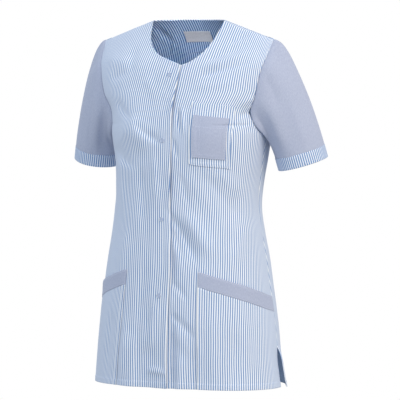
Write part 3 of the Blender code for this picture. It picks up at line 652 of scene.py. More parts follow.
def meshFromQuads(name, points, quads, uv, material, inside=None, insideFaces=(0, 0)):
    mesh = bpy.data.meshes.new(name)
    count = len(quads)
    mesh.vertices.add(len(points))
    mesh.vertices.foreach_set("co", points.astype(np.float32).ravel())
    mesh.loops.add(4 * count)
    mesh.loops.foreach_set("vertex_index", quads.astype(np.int32).ravel())
    mesh.polygons.add(count)
    mesh.polygons.foreach_set("loop_start", np.arange(0, 4 * count, 4, dtype=np.int32))
    mesh.polygons.foreach_set("loop_total", np.full(count, 4, dtype=np.int32))
    mesh.update(calc_edges=True)
    layer = mesh.uv_layers.new(name="cloth")
    layer.data.foreach_set("uv", uv[quads.ravel()].astype(np.float32).ravel())
    mesh.shade_smooth()
    mesh.materials.append(material)
    if inside:
        mesh.materials.append(inside)
        which = np.zeros(count, dtype=np.int32)
        which[insideFaces[0]:insideFaces[1]] = 1
        mesh.polygons.foreach_set("material_index", which)
    return newObject(name, mesh)


rimBulge = 0.4  # of the cloth's thickness


def clothShell(name, outer, inner, uv, material, ring=False, inside=None):
    # a closed sheet between two grids of points, with a rounded rim
    rowCount, columnCount = outer.shape[:2]
    index = np.arange(rowCount * columnCount).reshape(rowCount, columnCount)
    points = [outer.reshape(-1, 3), inner.reshape(-1, 3)]
    uvs = [uv.reshape(-1, 2), uv.reshape(-1, 2)]
    right = np.roll(index, -1, axis=1) if ring else index[:, 1:]
    left = index if ring else index[:, :-1]
    face = np.stack([left[:-1], right[:-1], right[1:], left[1:]], axis=-1).reshape(-1, 4)
    a, b, c = (points[0][face[:, k]] for k in (0, 1, 2))
    outward = np.sum(np.cross(b - a, c - b) * (points[0] - points[1])[face[:, 0]], axis=1)
    flip = outward.sum() < 0
    outerFaces = face[:, ::-1] if flip else face
    total = rowCount * columnCount
    faces = [outerFaces, outerFaces[:, ::-1] + total]
    if ring:
        loops = [(index[0], index[1]), (index[-1][::-1], index[-2][::-1])]
    else:
        edge = np.concatenate([index[0], index[1:, -1], index[-1, -2::-1], index[-2:0:-1, 0]])
        within = np.concatenate([index[1], index[1:, -2], index[-2, -2::-1], index[-2:0:-1, 1]])
        within[0], within[columnCount - 1] = index[1, 1], index[1, -2]
        within[columnCount + rowCount - 2] = index[-2, -2]
        within[2 * columnCount + rowCount - 3] = index[-2, 1]
        loops = [(edge, within)]
    start = 2 * total
    for edge, within in loops:
        out, inn = points[0][edge], points[1][edge]
        away = unit(out - points[0][within])
        thick = np.linalg.norm(out - inn, axis=1, keepdims=True)
        points.append((out + inn) / 2 + away * thick * rimBulge)
        uvs.append(uvs[0][edge])
        middle = start + np.arange(len(edge))
        start += len(edge)
        nextEdge, nextMiddle = np.roll(edge, -1), np.roll(middle, -1)
        for first, second in ((edge, middle), (middle, edge + total)):
            firstNext = nextEdge if first is edge else nextMiddle
            secondNext = nextMiddle if second is middle else nextEdge + total
            strip = np.stack([second, secondNext, firstNext, first], axis=-1)
            faces.append(strip[:, ::-1] if flip else strip)
    return meshFromQuads(name, np.concatenate(points), np.concatenate(faces), np.concatenate(uvs), material,
                         inside, (len(face), 2 * len(face)))


# Distance across the form from its middle, so that the stripes run up and down the cloth

arcReach = 0.2  # farther from the middle than any cloth above the chest
arcHeights = np.linspace(-0.745, -0.140, 60)
arcEven = 15  # rows over which the table is evened out, so that no stripe bends sharply
arcTurns = np.linspace(0, 130, 261)
arcTable = {}


def evened(table, reach):
    padded = np.pad(table, ((reach, reach), (0, 0)), mode="edge")
    weights = np.cos(np.arange(-reach, reach + 1) * math.pi / (2 * reach + 2)) ** 2
    total = sum(weight * padded[k:k + len(table)] for k, weight in enumerate(weights))
    return total / weights.sum()


for face, flipTurn in (("front", 0), ("back", 180)):
    turns = np.abs(flipTurn - arcTurns)
    lines = formPoint(*np.broadcast_arrays(turns[None, :], arcHeights[:, None]))
    arcTable[face] = evened(lengthAlong(lines, 1), arcEven)


def grainAcross(face, turn, height, x):
    # above the chest the stripes go straight up to the shoulder
    low = np.clip(height, arcHeights[0], arcHeights[-1])
    fromMiddle = turn if face == "front" else 180 - turn
    above = turnAt(np.clip(x, -arcReach, arcReach), arcHeights[-1] + 0 * x)
    fromMiddle = np.where(height > arcHeights[-1], above, fromMiddle)
    i = np.clip((low - arcHeights[0]) / (arcHeights[1] - arcHeights[0]), 0, len(arcHeights) - 1.001)
    j = np.clip(np.abs(fromMiddle) / (arcTurns[1] - arcTurns[0]), 0, len(arcTurns) - 1.001)
    i0, j0 = i.astype(int), j.astype(int)
    s, t = i - i0, j - j0
    table = arcTable[face]
    value = (table[i0, j0] * (1 - s) * (1 - t) + table[i0 + 1, j0] * s * (1 - t)
             + table[i0, j0 + 1] * (1 - s) * t + table[i0 + 1, j0 + 1] * s * t)
    return np.copysign(value, fromMiddle)


stripeLean = {  # how far the stripes of each front have gone towards its left, by the height
    "height": (-0.240, -0.215, -0.195, -0.170, -0.140, -0.110, -0.080, -0.050, 0.0, 0.04),
    "front_left": (0.0, 0.0, 0.0006, 0.0030, 0.0066, 0.0092, 0.0114, 0.0138, 0.0165, 0.0185),
    "front_right": (0.0, 0.0, 0.0010, 0.0055, 0.0118, 0.0160, 0.0185, 0.0203, 0.0220, 0.0230),
}

placket = {
    # heights, and how far the lapped edge hangs to its left there
    "drift": ((-0.080, 0.0060), (-0.097, 0.0056), (-0.132, 0.0038), (-0.166, 0.0022), (-0.205, 0.0028),
              (-0.285, 0.0038), (-0.325, 0.0042), (-0.366, 0.0034), (-0.438, 0.0060), (-0.495, 0.0084),
              (-0.560, 0.0056), (-0.740, 0.0050)),
    "driftRun": 0.090,
    "studs": (-0.111, -0.241, -0.399, -0.552),
    # heights between the studs, and how far the edge stands off there
    "gapes": ((-0.101, 0.0008), (-0.176, 0.0034), (-0.320, 0.0036), (-0.475, 0.0042), (-0.650, 0.0050),
              (-0.740, 0.0030)),
    # the stripes' shifts on the two fronts: the lapped one so that a white stripe lies at its edge as a
    # painted highlight, and the one under it so that a blue stripe lies beside that edge as a painted shadow
    "atStud": 0.0004, "power": 1.5, "run": 0.020, "stripeShift": -0.0019, "shadowStripeShift": 0.0029,
}
driftAt = profile(*zip(*placket["drift"]))
gapeAt = profile([z for z, _ in placket["gapes"]] + list(placket["studs"]),
                 [lift for _, lift in placket["gapes"]] + [placket["atStud"]] * len(placket["studs"]))


def lapLift(x, z):
    over = (cut["solidCloth"] + cut["lapGap"]) * ease((x - cut["lapStart"]) / cut["lapRun"])
    toEdge = ease((x - cut["lap"] + placket["run"]) / placket["run"])
    return over + gapeAt(z) * toEdge ** placket["power"]


whiteHighlightEdge = {"width": 0.0030, "stretch": 1.5}  # the white stripe that a turned edge is folded on, stretched wider as a painted highlight along the edge


def edgeStretch(distance, s):
    return (1 - 1 / s["stretch"]) * np.minimum(distance, s["width"])


# heights and distances of the side slits: how far the back's edge and the front's move at the hem
slit = {"top": -0.657, "back": 0.0080, "front": 0.0024, "reach": 0.034, "run": 0.036}


def edgeDistances(points):
    first, low = lengthAlong(points, 1), lengthAlong(points, 0)
    return {"first": first, "last": first[:, -1:] - first, "low": low, "high": low[-1:] - low}


measureSteps = (181, 121)  # up a panel and across it


def measurePanel(panel):
    # how far each place of a panel lies from its four edges
    rowAt, columnAt = (np.linspace(0, panel["grid"].shape[k] - 1, measureSteps[k]) for k in (0, 1))
    places = refine(panel, rowAt, columnAt)
    fields = edgeDistances(formPoint(places[..., 0], places[..., 1]))
    panel["fields"] = (rowAt, columnAt, fields)


def panelDistances(panel, rowAt, columnAt):
    rows2, columns2, fields = panel["fields"]
    i = np.interp(rowAt, rows2, np.arange(len(rows2)))
    j = np.interp(columnAt, columns2, np.arange(len(columns2)))
    i0, j0 = np.minimum(i.astype(int), len(rows2) - 2), np.minimum(j.astype(int), len(columns2) - 2)
    s, t = (i - i0)[:, None], (j - j0)[None, :]
    found = {}
    for key, field in fields.items():
        a, b = field[np.ix_(i0, j0)], field[np.ix_(i0, j0 + 1)]
        c, d = field[np.ix_(i0 + 1, j0)], field[np.ix_(i0 + 1, j0 + 1)]
        found[key] = (a * (1 - t) + b * t) * (1 - s) + (c * (1 - t) + d * t) * s
    return found


seams = {
    "hem": 0.012, "placket": 0.026, "neck": 0.006,  # from an edge to its stitched line
    "hemDoubled": 0.0006, "placketDoubled": 0.0007, "neckDoubled": 0.0005,  # how much thicker up to there
    "step": 0.0014, "rim": 0.0004, "rimRun": 0.0016, "groove": 0.0004, "grooveWidth": 0.0011,
    "armhole": 0.0004, "side": 0.0006, "shoulder": 0.0007, "sunkWidth": 0.0016,  # joins that lie a little low
    "neckRows": 4, "neckFade": 2,  # rows of the front that its neck's edge takes up
}


def stitchedRise(distance, edge):
    # cloth turned under stands higher up to its stitched line, and the line pulls it in
    width, doubled = seams[edge], seams[edge + "Doubled"]
    inside = doubled * (1 - ease((distance - width) / seams["step"]))
    rounded = doubled * (1 - ease((distance + seams["rim"]) / seams["rimRun"]))
    return inside - rounded - seams["groove"] * np.exp(-(((distance - width) / seams["grooveWidth"]) ** 2))


def sunk(distance):
    return np.exp(-((distance / seams["sunkWidth"]) ** 2))


def sideSeam(rowAt, distance):
    deep = np.where(rowAt > underarm - 0.5, seams["armhole"], np.where(rowAt > slitRow, seams["side"], 0.0))
    return deep[:, None] * sunk(distance)


def frontSeams(d, rowAt, columnAt):
    up = ease((rowAt - frontRows + seams["neckRows"]) / seams["neckFade"])
    neck = (columnAt <= neckBreak)[None, :] * up[:, None]
    rise = stitchedRise(d["low"], "hem") + stitchedRise(d["first"], "placket")
    rise += stitchedRise(d["high"], "neck") * neck
    shoulder = seams["shoulder"] * sunk(d["high"]) * (columnAt > neckBreak)[None, :]
    return rise - sideSeam(rowAt, d["last"]) - shoulder


def backSeams(d, rowAt, columnAt):
    return stitchedRise(d["low"], "hem") - sideSeam(rowAt, np.minimum(d["first"], d["last"]))


def slitSpread(panel, d, z):
    # below the slits the back's edges stand out, and the fronts' edges lie a little in
    below = np.clip((slit["top"] - z) / slit["run"], 0, 1)
    down = 1 - (1 - below) ** 2
    first, last = (ease(1 - d[key] / slit["reach"]) for key in ("first", "last"))
    if panel["face"] == "back":
        return slit["back"] * down * (first - last)
    return slit["front"] * down * last * (1 if panel["lapped"] else -1)


def ontoRidge(panel, columnAt, distance):
    # between its own points the shoulder's edge strays from the ridge, and it is brought back to it
    edge = refine(panel, np.array([float(frontRows)]), columnAt)[0]
    point = formPoint(edge[:, 0], edge[:, 1])
    away = np.stack([0 * point[:, 0], -point[:, 1], ridgeHeight(point[:, 0]) - point[:, 2]], axis=-1)
    away *= panel["isShoulder"](columnAt)[:, None]
    return away[None] * np.exp(-((distance / cut["ridgeReach"]) ** 2))[..., None]


patch = {"stitchedAt": 0.002, "turned": 0.007, "turnedRun": 0.002, "groove": 0.0003, "grooveWidth": 0.0009,
         "liftRun": 0.014, "mouthPower": 1.5}


def patchRise(distance, edges, doubled, lift):
    # a patch is stitched down near its named edges, where its cloth is doubled; its first edge may stand off
    near = np.minimum.reduce([distance[key] for key in edges])
    groove = patch["groove"] * np.exp(-(((near - patch["stitchedAt"]) / patch["grooveWidth"]) ** 2))
    turned = doubled * (1 - ease((near - patch["turned"]) / patch["turnedRun"])) - groove
    return turned + lift * (1 - ease(distance["first"] / patch["liftRun"]))


def mouthRise(distance, gape, run):
    # the top edge of a pocket stands off in its middle
    across = distance["first"] / (distance["first"] + distance["last"])
    return gape * np.sin(math.pi * across) ** patch["mouthPower"] * ease(1 - distance["high"] / run)


def panelSurface(panel, rowAt, columnAt):
    # points of a panel's outer face at every pair of a row and a column, with their normals
    places = refine(panel, rowAt, columnAt)
    turn, height = places[..., 0], places[..., 1]
    base, normal = formPoint(turn, height), formNormal(turn, height)
    d = panelDistances(panel, rowAt, columnAt)
    rise = clothRise(panel["face"], base) + panel["seams"](d, rowAt, columnAt)
    if panel["lapped"]:
        rise = rise + lapLift(base[..., 0], base[..., 2])
    surface = base + normal * rise[..., None] + ontoRidge(panel, columnAt, d["high"])
    surface[..., 0] += slitSpread(panel, d, base[..., 2])
    u = grainAcross(panel["face"], turn, height, base[..., 0]) + panel["stripeShift"]
    if panel["face"] == "front":
        u = u - panel["leanAt"](height)
    if panel["lapped"]:
        surface[..., 0] += driftAt(base[..., 2]) * ease(1 - d["first"] / placket["driftRun"])
        # the lapped edge's white stripe is stretched wider, a painted highlight
        u = u + edgeStretch(d["first"], whiteHighlightEdge)
    return surface, normal, u


nearly = 1e-6  # so that a place on a grid line counts as on it


def layer(name, panel, rowSpan, columnSpan, low, s):
    # one layer of cloth on a panel, from its lower side's height above it
    tightAcross, tightAlong = s.get("tight", ((), ()))
    rowAt = fineParams(panel, *rowSpan, 0, s["spacing"], tightAcross)
    columnAt = fineParams(panel, *columnSpan, 1, s["spacing"], tightAlong)
    surface, normal, u = panelSurface(panel, rowAt, columnAt)
    distance = edgeDistances(surface)
    thick = s.get("cloth", cut["cloth"])
    lift = low + thick + (mouthRise(distance, *s["mouth"]) if "mouth" in s else 0)
    if "sewn" in s:
        lift = lift + patchRise(distance, s["sewn"], s["doubled"], s.get("lift", 0.0))
    outer = surface + normal * (lift * np.ones(u.shape))[..., None]
    outer[..., 1] += np.outer(rowAt >= frontRows - nearly, panel["isShoulder"](columnAt)) * panel["seamMove"]
    skin = surfaceNormals(outer, normal)
    if "stripes" in s:  # a patch whose stripes run along its inner edge, measured level, the white one at that edge stretched wider as a painted highlight
        level = lengthAlong(surface[..., :2], 1)
        u = level - edgeStretch(level, whiteHighlightEdge) + s["stripes"]
    uv = np.stack([u, distance["low"] + cut["hem"]], axis=-1)
    # the wrong side takes the darker copy of the cloth, painted shade for the garment's inside
    inside = materials["striped_inside"] if s["slot"] == "striped_cloth" else None
    piece = clothShell(name + "_cloth", outer, outer - skin * thick, uv, materials[s["slot"]], inside=inside)
    made[name] = {"outer": outer, "skin": skin, "distance": distance, "rowAt": rowAt, "columnAt": columnAt}
    finishPiece(piece, name)


# Materials

def group(name, inputs, outputs):
    tree = bpy.data.node_groups.new(name, "ShaderNodeTree")
    for label, value in inputs:
        socket = tree.interface.new_socket(label, in_out="INPUT", socket_type="NodeSocketFloat")
        socket.default_value = value
    for label in outputs:
        tree.interface.new_socket(label, in_out="OUTPUT", socket_type="NodeSocketFloat")
    return tree, tree.nodes.new("NodeGroupInput"), tree.nodes.new("NodeGroupOutput")


def feed(tree, socket, value):
    # a number, a colour or another node's output goes into a socket
    if isinstance(value, tuple):
        socket.default_value = (*value, 1)
    elif isinstance(value, (int, float)):
        socket.default_value = value
    else:
        tree.links.new(value, socket)


def calc(tree, operation, *values, clamp=False):
    node = tree.nodes.new("ShaderNodeMath")
    node.operation = operation
    node.use_clamp = clamp
    for socket, value in zip(node.inputs, values):
        feed(tree, socket, value)
    return node.outputs[0]


def stripeGroup():
    # 1 on the coloured stripe and 0 on the white one, by the distance across the cloth
    inputs = (("Across", 0.0), ("Period", 0.0048), ("Softness", 0.25), ("Share", 0.5))
    tree, start, end = group("stripes", inputs, ("Mask",))
    turns = calc(tree, "DIVIDE", start.outputs["Across"], start.outputs["Period"])
    wave = calc(tree, "SINE", calc(tree, "MULTIPLY", turns, 2 * math.pi))
    bias = calc(tree, "MULTIPLY_ADD", start.outputs["Share"], 2.0, -1.0)
    soft = calc(tree, "DIVIDE", calc(tree, "ADD", wave, bias), start.outputs["Softness"])
    tree.links.new(calc(tree, "MULTIPLY_ADD", soft, 0.5, 0.5, clamp=True), end.inputs["Mask"])
    return tree


def noiseOf(tree, place, scale, detail):
    noise = tree.nodes.new("ShaderNodeTexNoise")
    noise.inputs["Detail"].default_value = detail
    tree.links.new(place, noise.inputs["Vector"])
    feed(tree, noise.inputs["Scale"], scale)
    return noise.outputs["Fac"]


yarn = {"slubsAcross": 700.0, "slubsAlong": 220.0, "slubFrom": 0.35, "slubGain": 3.0, "slubRoughness": 0.12,
        "bump": 0.35, "sheenRoughness": 0.5, "toneScale": 9.0}


def weaveGroup():
    # plain weave: threads over and under, as a height, and a slow unevenness of the yarn
    inputs = (("Across", 0.0), ("Along", 0.0), ("Thread", 0.0004))
    tree, start, end = group("weave", inputs, ("Height", "Slub"))
    threads = []
    for key in ("Across", "Along"):
        share = calc(tree, "DIVIDE", start.outputs[key], start.outputs["Thread"])
        threads.append(calc(tree, "SINE", calc(tree, "MULTIPLY", share, math.pi)))
    tree.links.new(calc(tree, "MULTIPLY", *threads), end.inputs["Height"])
    place = tree.nodes.new("ShaderNodeCombineXYZ")
    for key, socket in zip(("Across", "Along"), place.inputs):
        tree.links.new(calc(tree, "MULTIPLY", start.outputs[key], yarn["slubs" + key]), socket)
    tree.links.new(noiseOf(tree, place.outputs[0], 1.0, 2.0), end.inputs["Slub"])
    return tree


def toneGroup():
    # slow, faint changes of tone over the whole garment
    tree, start, end = group("tone", (("Scale", 9.0),), ("Tone",))
    place = tree.nodes.new("ShaderNodeTexCoord")
    tree.links.new(noiseOf(tree, place.outputs["Object"], start.outputs["Scale"], 3.0), end.inputs["Tone"])
    return tree


groups = {"stripes": stripeGroup(), "weave": weaveGroup(), "tone": toneGroup()}


def useGroup(tree, name, **values):
    node = tree.nodes.new("ShaderNodeGroup")
    node.node_tree = groups[name]
    for key, value in values.items():
        feed(tree, node.inputs[key], value)
    return node


def mixColour(tree, factor, a, b, blend="MIX"):
    node = tree.nodes.new("ShaderNodeMix")
    node.data_type = "RGBA"
    node.blend_type = blend
    for k, value in ((0, factor), (6, a), (7, b)):
        feed(tree, node.inputs[k], value)
    return node.outputs[2]


def newMaterial(name):
    material = bpy.data.materials.new(name)
    material.use_nodes = True
    return material, material.node_tree, material.node_tree.nodes["Principled BSDF"]


def clothMaterial(name, s):
    material, tree, shader = newMaterial(name)
    shader.inputs["Sheen Weight"].default_value = s["sheen"]
    shader.inputs["Sheen Roughness"].default_value = yarn["sheenRoughness"]
    shader.inputs["Specular IOR Level"].default_value = s["specular"]
    uv = tree.nodes.new("ShaderNodeUVMap")
    uv.uv_map = "cloth"
    parts = tree.nodes.new("ShaderNodeSeparateXYZ")
    tree.links.new(uv.outputs[0], parts.inputs[0])
    across, along = parts.outputs[0], parts.outputs[1]
    weave = useGroup(tree, "weave", Across=across, Along=along, Thread=s["thread"])
    tone = useGroup(tree, "tone", Scale=yarn["toneScale"]).outputs["Tone"]
    if "stripe" in s:
        mask = useGroup(tree, "stripes", Across=across, Period=s["period"], Softness=s["softness"],
                        Share=s["share"]).outputs["Mask"]
        aside = tree.nodes.new("ShaderNodeLayerWeight")  # so fine a stripe blends where the cloth turns away
        aside.inputs["Blend"].default_value = 0.5
        kept = calc(tree, "MULTIPLY", calc(tree, "SUBTRACT", s["fadeTo"], aside.outputs["Facing"]),
                     1 / (s["fadeTo"] - s["fadeFrom"]), clamp=True)
        mask = calc(tree, "MULTIPLY_ADD", calc(tree, "SUBTRACT", mask, s["share"]), kept, s["share"])
        colour = mixColour(tree, mask, s["ground"], s["stripe"])
    else:
        slub = calc(tree, "SUBTRACT", weave.outputs["Slub"], yarn["slubFrom"])
        slub = calc(tree, "MULTIPLY", slub, yarn["slubGain"], clamp=True)
        colour = mixColour(tree, slub, s["ground"], s["fleck"])
    shade = calc(tree, "MULTIPLY_ADD", tone, s["unevenTone"], 1 - s["unevenTone"] / 2)
    grey = tree.nodes.new("ShaderNodeCombineColor")
    for socket in grey.inputs:
        tree.links.new(shade, socket)
    tree.links.new(mixColour(tree, 1.0, colour, grey.outputs[0], "MULTIPLY"), shader.inputs["Base Color"])
    rough = calc(tree, "MULTIPLY_ADD", weave.outputs["Slub"], yarn["slubRoughness"], s["roughness"])
    tree.links.new(rough, shader.inputs["Roughness"])
    bump = tree.nodes.new("ShaderNodeBump")
    bump.inputs["Strength"].default_value = yarn["bump"]
    bump.inputs["Distance"].default_value = s["thread"] / 3
    tree.links.new(weave.outputs["Height"], bump.inputs["Height"])
    tree.links.new(bump.outputs[0], shader.inputs["Normal"])
    return material


finishes = {
    "striped_cloth": {
        "ground": (0.85, 0.88, 0.925), "stripe": (0.16, 0.29, 0.56), "period": 0.0047, "softness": 0.45,
        "share": 0.46, "fadeFrom": 0.32, "fadeTo": 0.66,
        "thread": 0.0004, "sheen": 0.15, "specular": 0.2, "roughness": 0.72, "unevenTone": 0.06},
    "chambray_cloth": {
        "ground": (0.38, 0.425, 0.575), "fleck": (0.455, 0.50, 0.635), "thread": 0.0004, "sheen": 0.2,
        "specular": 0.2, "roughness": 0.75, "unevenTone": 0.08},
    # the label's pale tape is given a darker grey, as painted shade inside the neck
    "label_tape": {
        "ground": (0.60, 0.60, 0.63), "fleck": (0.69, 0.69, 0.71), "thread": 0.0003, "sheen": 0.1,
        "specular": 0.3, "roughness": 0.6, "unevenTone": 0.10},
}
# the same cloth on its wrong side, darker and bluer as painted shade for the inside of the garment, and on
# the cuffs
finishes["striped_inside"] = dict(
    finishes["striped_cloth"], ground=(0.58, 0.73, 0.90), stripe=(0.02, 0.11, 0.36), fadeFrom=0.5, fadeTo=0.9,
    sheen=0.05)
# the cuffs' copy is darker, with a wider blue stripe, as painted shade
finishes["striped_cuff"] = dict(finishes["striped_cloth"], share=0.58, ground=(0.80, 0.84, 0.90))
materials = {name: clothMaterial(name, s) for name, s in finishes.items()}

pearl = {"cap": (0.28, 0.35, 0.53), "ring": (0.52, 0.60, 0.76), "roughness": 0.32, "coat": 0.35,
         "coatRoughness": 0.12, "cloudScale": 420.0}
thread = {"colour": (0.66, 0.72, 0.84), "roughness": 0.6, "sheen": 0.2}


def pearlMaterial(s):
    # clouded pearl, between its two tones
    material, tree, shader = newMaterial("stud")
    shader.inputs["Roughness"].default_value = s["roughness"]
    shader.inputs["Coat Weight"].default_value = s["coat"]
    shader.inputs["Coat Roughness"].default_value = s["coatRoughness"]
    cloud = useGroup(tree, "tone", Scale=s["cloudScale"]).outputs["Tone"]
    tree.links.new(mixColour(tree, cloud, s["cap"], s["ring"]), shader.inputs["Base Color"])
    return material


def threadMaterial(s):
    material, tree, shader = newMaterial("thread")
    shader.inputs["Base Color"].default_value = (*s["colour"], 1)
    shader.inputs["Roughness"].default_value = s["roughness"]
    shader.inputs["Sheen Weight"].default_value = s["sheen"]
    return material


materials["stud"] = pearlMaterial(pearl)
materials["thread"] = threadMaterial(thread)
made = {}  # what the stitches need to know of each piece


def finishPiece(piece, node):
    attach(piece, "root")
    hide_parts(node)
    if node in ("back", "neck_facing", "neck_label"):
        insides.objects.link(piece)


print("form, cloth and materials ready")


# Panels

underarm, slitRow = rowIndex("underarm"), rowIndex("slit")
frontRows = len(rows) + len(cut["armholeAbove"]) - 1
neckBreak = len(cut["necklineLeft"])
panels = {
    "front_left": {"face": "front", "lapped": False, "grid": frontGrid(1, cut["necklineLeft"]),
                   "stripeShift": placket["shadowStripeShift"]},
    "front_right": {"face": "front", "lapped": True, "grid": frontGrid(-1, cut["necklineRight"]),
                    "stripeShift": placket["stripeShift"]},
    "back": {"face": "back", "lapped": False, "grid": backGrid(), "stripeShift": 0.0},
}
backColumns = panels["back"]["grid"].shape[1] - 1
sideColumns = cut["backSideColumns"]
middle = sideColumns + len(cut["backNeckX"])  # the back's middle column
for name, panel in panels.items():
    panel["rowBreaks"] = (underarm,)
    if panel["face"] == "front":
        panel.update(columnBreaks=(neckBreak,), seamMove=-cut["seamGap"] / 2, seams=frontSeams,
                     isShoulder=lambda at: at >= neckBreak - nearly,
                     leanAt=profile(stripeLean["height"], stripeLean[name]))
    else:
        panel.update(columnBreaks=(sideColumns, backColumns - sideColumns), seamMove=cut["seamGap"] / 2,
                     seams=backSeams,
                     isShoulder=lambda at: np.abs(at - middle) >= middle - sideColumns - nearly)
    measurePanel(panel)

# Each piece: how finely it is divided, how far it lies off what is under it, at which edges it is divided
# more finely (low and high, then first and last), and the size it was cut to. A patch also has its sewn edges
# and how much thicker its cloth is there, and a pocket how far its mouth gapes, and down to what depth.
allTight = (("low", "high"), ("low", "high"))
front = {"slot": "striped_cloth", "spacing": 0.0031, "tight": (("low", "high"), ("low",)),
         "flat": (0.31, 0.78), "area": 0.195}
back = {"slot": "striped_cloth", "spacing": 0.0034, "tight": (("low", "high"), ()),
        "flat": (0.56, 0.78), "area": 0.34}
hipPocket = {"slot": "striped_cloth", "spacing": 0.0030, "gap": 0.0003, "tight": (("low",), ("low",)),
             "sewn": ("first",), "doubled": 0.0006, "flat": (0.20, 0.23), "area": 0.040}
# each hip pocket's lift at its inner edge, and where its stripes start, so that a white stripe lies along
# that edge as a painted highlight
hipPocketSides = {"left": {"lift": 0.0012, "stripes": 0.0025}, "right": {"lift": 0.0, "stripes": 0.0035}}
hipBand = {"slot": "chambray_cloth", "spacing": 0.0022, "gap": 0.0003, "cloth": 0.0013,
           "sewn": ("low", "first"), "doubled": 0.0002, "mouth": (0.0022, 0.034), "flat": (0.185, 0.040),
           "seamShare": 0.004}  # of a row, on each side of the seam between a hip pocket and its band
chestPocket = {"slot": "striped_cloth", "spacing": 0.0022, "gap": 0.0003, "tight": allTight,
               "sewn": ("first", "low", "last"), "doubled": 0.0004, "lift": 0.0003,
               "mouth": (0.0010, 0.030), "stripes": 0.0033, "flat": (0.095, 0.145)}
penPocket = {"slot": "chambray_cloth", "spacing": 0.0022, "gap": 0.0016, "tight": allTight,
             "sewn": ("first", "low", "last"), "doubled": 0.0003, "lift": 0.0018,
             "mouth": (0.0012, 0.030), "flat": (0.075, 0.100)}
facing = {"slot": "striped_cloth", "spacing": 0.0026, "gap": 0.0005, "flat": (0.28, 0.13), "area": 0.027,
          "rows": 3, "beside": 2}  # rows down from the neck, and columns beyond the neck's width
label = {"slot": "label_tape", "spacing": 0.0016, "gap": 0.0012, "cloth": 0.0005, "flat": (0.062, 0.030),
         "rows": (2, 1), "columns": (-1, 2)}  # rows down from the neck, and columns from the middle
wall = cut["cloth"]

for name, panel in panels.items():
    columns = (0, panel["grid"].shape[1] - 1)
    layer(name, panel, (0, frontRows), columns, -wall, back if name == "back" else front)
print("fronts and back made")

bandLow, bandHigh = rowIndex("bandBottom"), rowIndex("bandTop")
pocketColumns = (cut["pocketColumn"], cut["columns"])
for side, own in hipPocketSides.items():
    panel = panels["front_" + side]
    layer("hip_pocket_" + side, panel, (0, bandLow - hipBand["seamShare"]), pocketColumns, hipPocket["gap"],
          {**hipPocket, **own})
    layer("hip_band_" + side, panel, (bandLow + hipBand["seamShare"], bandHigh), pocketColumns,
          hipBand["gap"], hipBand)
layer("chest_pocket", panels["front_left"], (rowIndex("pocketBottom"), rowIndex("pocketTop")),
      (cut["pocketColumn"], cut["chestEndColumn"]), chestPocket["gap"], chestPocket)
layer("chest_pen_pocket", panels["front_left"], (rowIndex("penBottom"), rowIndex("penTop")),
      cut["penColumns"], penPocket["gap"], penPocket)
facingStart = sideColumns - facing["beside"]
layer("neck_facing", panels["back"], (frontRows - facing["rows"], frontRows),
      (facingStart, backColumns - facingStart), -2 * wall - facing["gap"], facing)
layer("neck_label", panels["back"], [frontRows - down for down in label["rows"]],
      [middle + k for k in label["columns"]], -2 * wall - label["gap"], label)
print("pockets, facing and label made")


# Sleeves and cuffs

sleeve = {
    "round": 176, "along": 92, "armholeGap": 0.0002, "seamGap": 0.0003, "cuffHeight": 0.025,
    "cuffCentre": (0.2345, 0.046, -0.288), "cuffAxis": (0.22, 0.19, -1.0), "across": 0.0505, "deep": 0.056,
    "leaveReach": (0.106, 0.050), "arriveReach": (0.200, 0.055), "leaveForward": 0.15,
    "leaveDown": (0.45, 0.30), "foldFade": 0.4, "foldLoss": 0.75, "lowerArmhole": -0.15,
    "folds": ((62, -0.0024, 20), (95, 0.0030, 18), (126, -0.0040, 18), (235, -0.0040, 18), (275, 0.0035, 18)),
    "creases": (  # side, from (turn, share of the length), to, rise and half width in degrees
        (1, 100, 0.22, 112, 0.84, -0.0016, 12), (1, 84, 0.30, 91, 0.92, 0.0010, 12),
        (1, 128, 0.12, 140, 0.72, -0.0020, 12), (1, 60, 0.08, 68, 0.52, -0.0014, 8),
        (1, 24, 0.04, 14, 0.48, -0.0010, 10), (1, -18, 0.05, -26, 0.60, -0.0014, 10),
        (1, 40, 0.45, 46, 1.10, 0.0012, 9), (1, 200, 0.10, 214, 0.80, -0.0022, 10),
        (1, 285, 0.15, 278, 0.85, 0.0018, 10), (1, 312, 0.05, 322, 0.55, -0.0014, 9),
        (-1, 82, 0.28, 92, 0.98, -0.0018, 7), (-1, 104, 0.15, 110, 1.00, 0.0030, 8),
        (-1, 136, 0.06, 150, 0.86, -0.0036, 11), (-1, 60, 0.18, 62, 0.75, 0.0012, 9),
        (-1, 166, 0.00, 172, 0.55, -0.0030, 8), (-1, 34, 0.05, 30, 0.50, -0.0010, 9),
        (-1, -14, 0.05, -20, 0.55, -0.0014, 10), (-1, 236, 0.10, 228, 0.78, -0.0022, 10),
        (-1, 290, 0.10, 300, 0.90, 0.0018, 10)),
    "creaseStart": 0.3, "creaseEnd": 0.4, "creaseNarrow": 0.7,
    "length": 0.24, "heldNear": 0.02, "uneven": 0.0007,
    "rolled": 0.0008, "rolledStart": 0.0003, "rolledRun": 0.003,
    "flat": (0.40, 0.23), "area": 0.060,
}
cuff = {"flat": (0.36, 0.029), "cloth": 0.0016, "along": 16, "proud": 0.0005, "stripeStretch": 1.05}
cuffAxis = unit(np.array(sleeve["cuffAxis"]))


def cuffPoints(turn, backFromEnd, side, bulge=0.0):
    outward = unit(np.array((1.0, 0, 0)) - cuffAxis * cuffAxis[0])
    forward = np.cross(outward, cuffAxis)
    forward *= -np.sign(forward[1])
    point = (np.array(sleeve["cuffCentre"]) - cuffAxis * np.asarray(backFromEnd)[..., None]
             + outward * ((sleeve["across"] + bulge) * np.cos(turn))[..., None]
             + forward * ((sleeve["deep"] + bulge) * np.sin(turn))[..., None])
    return point * (side, 1, 1)


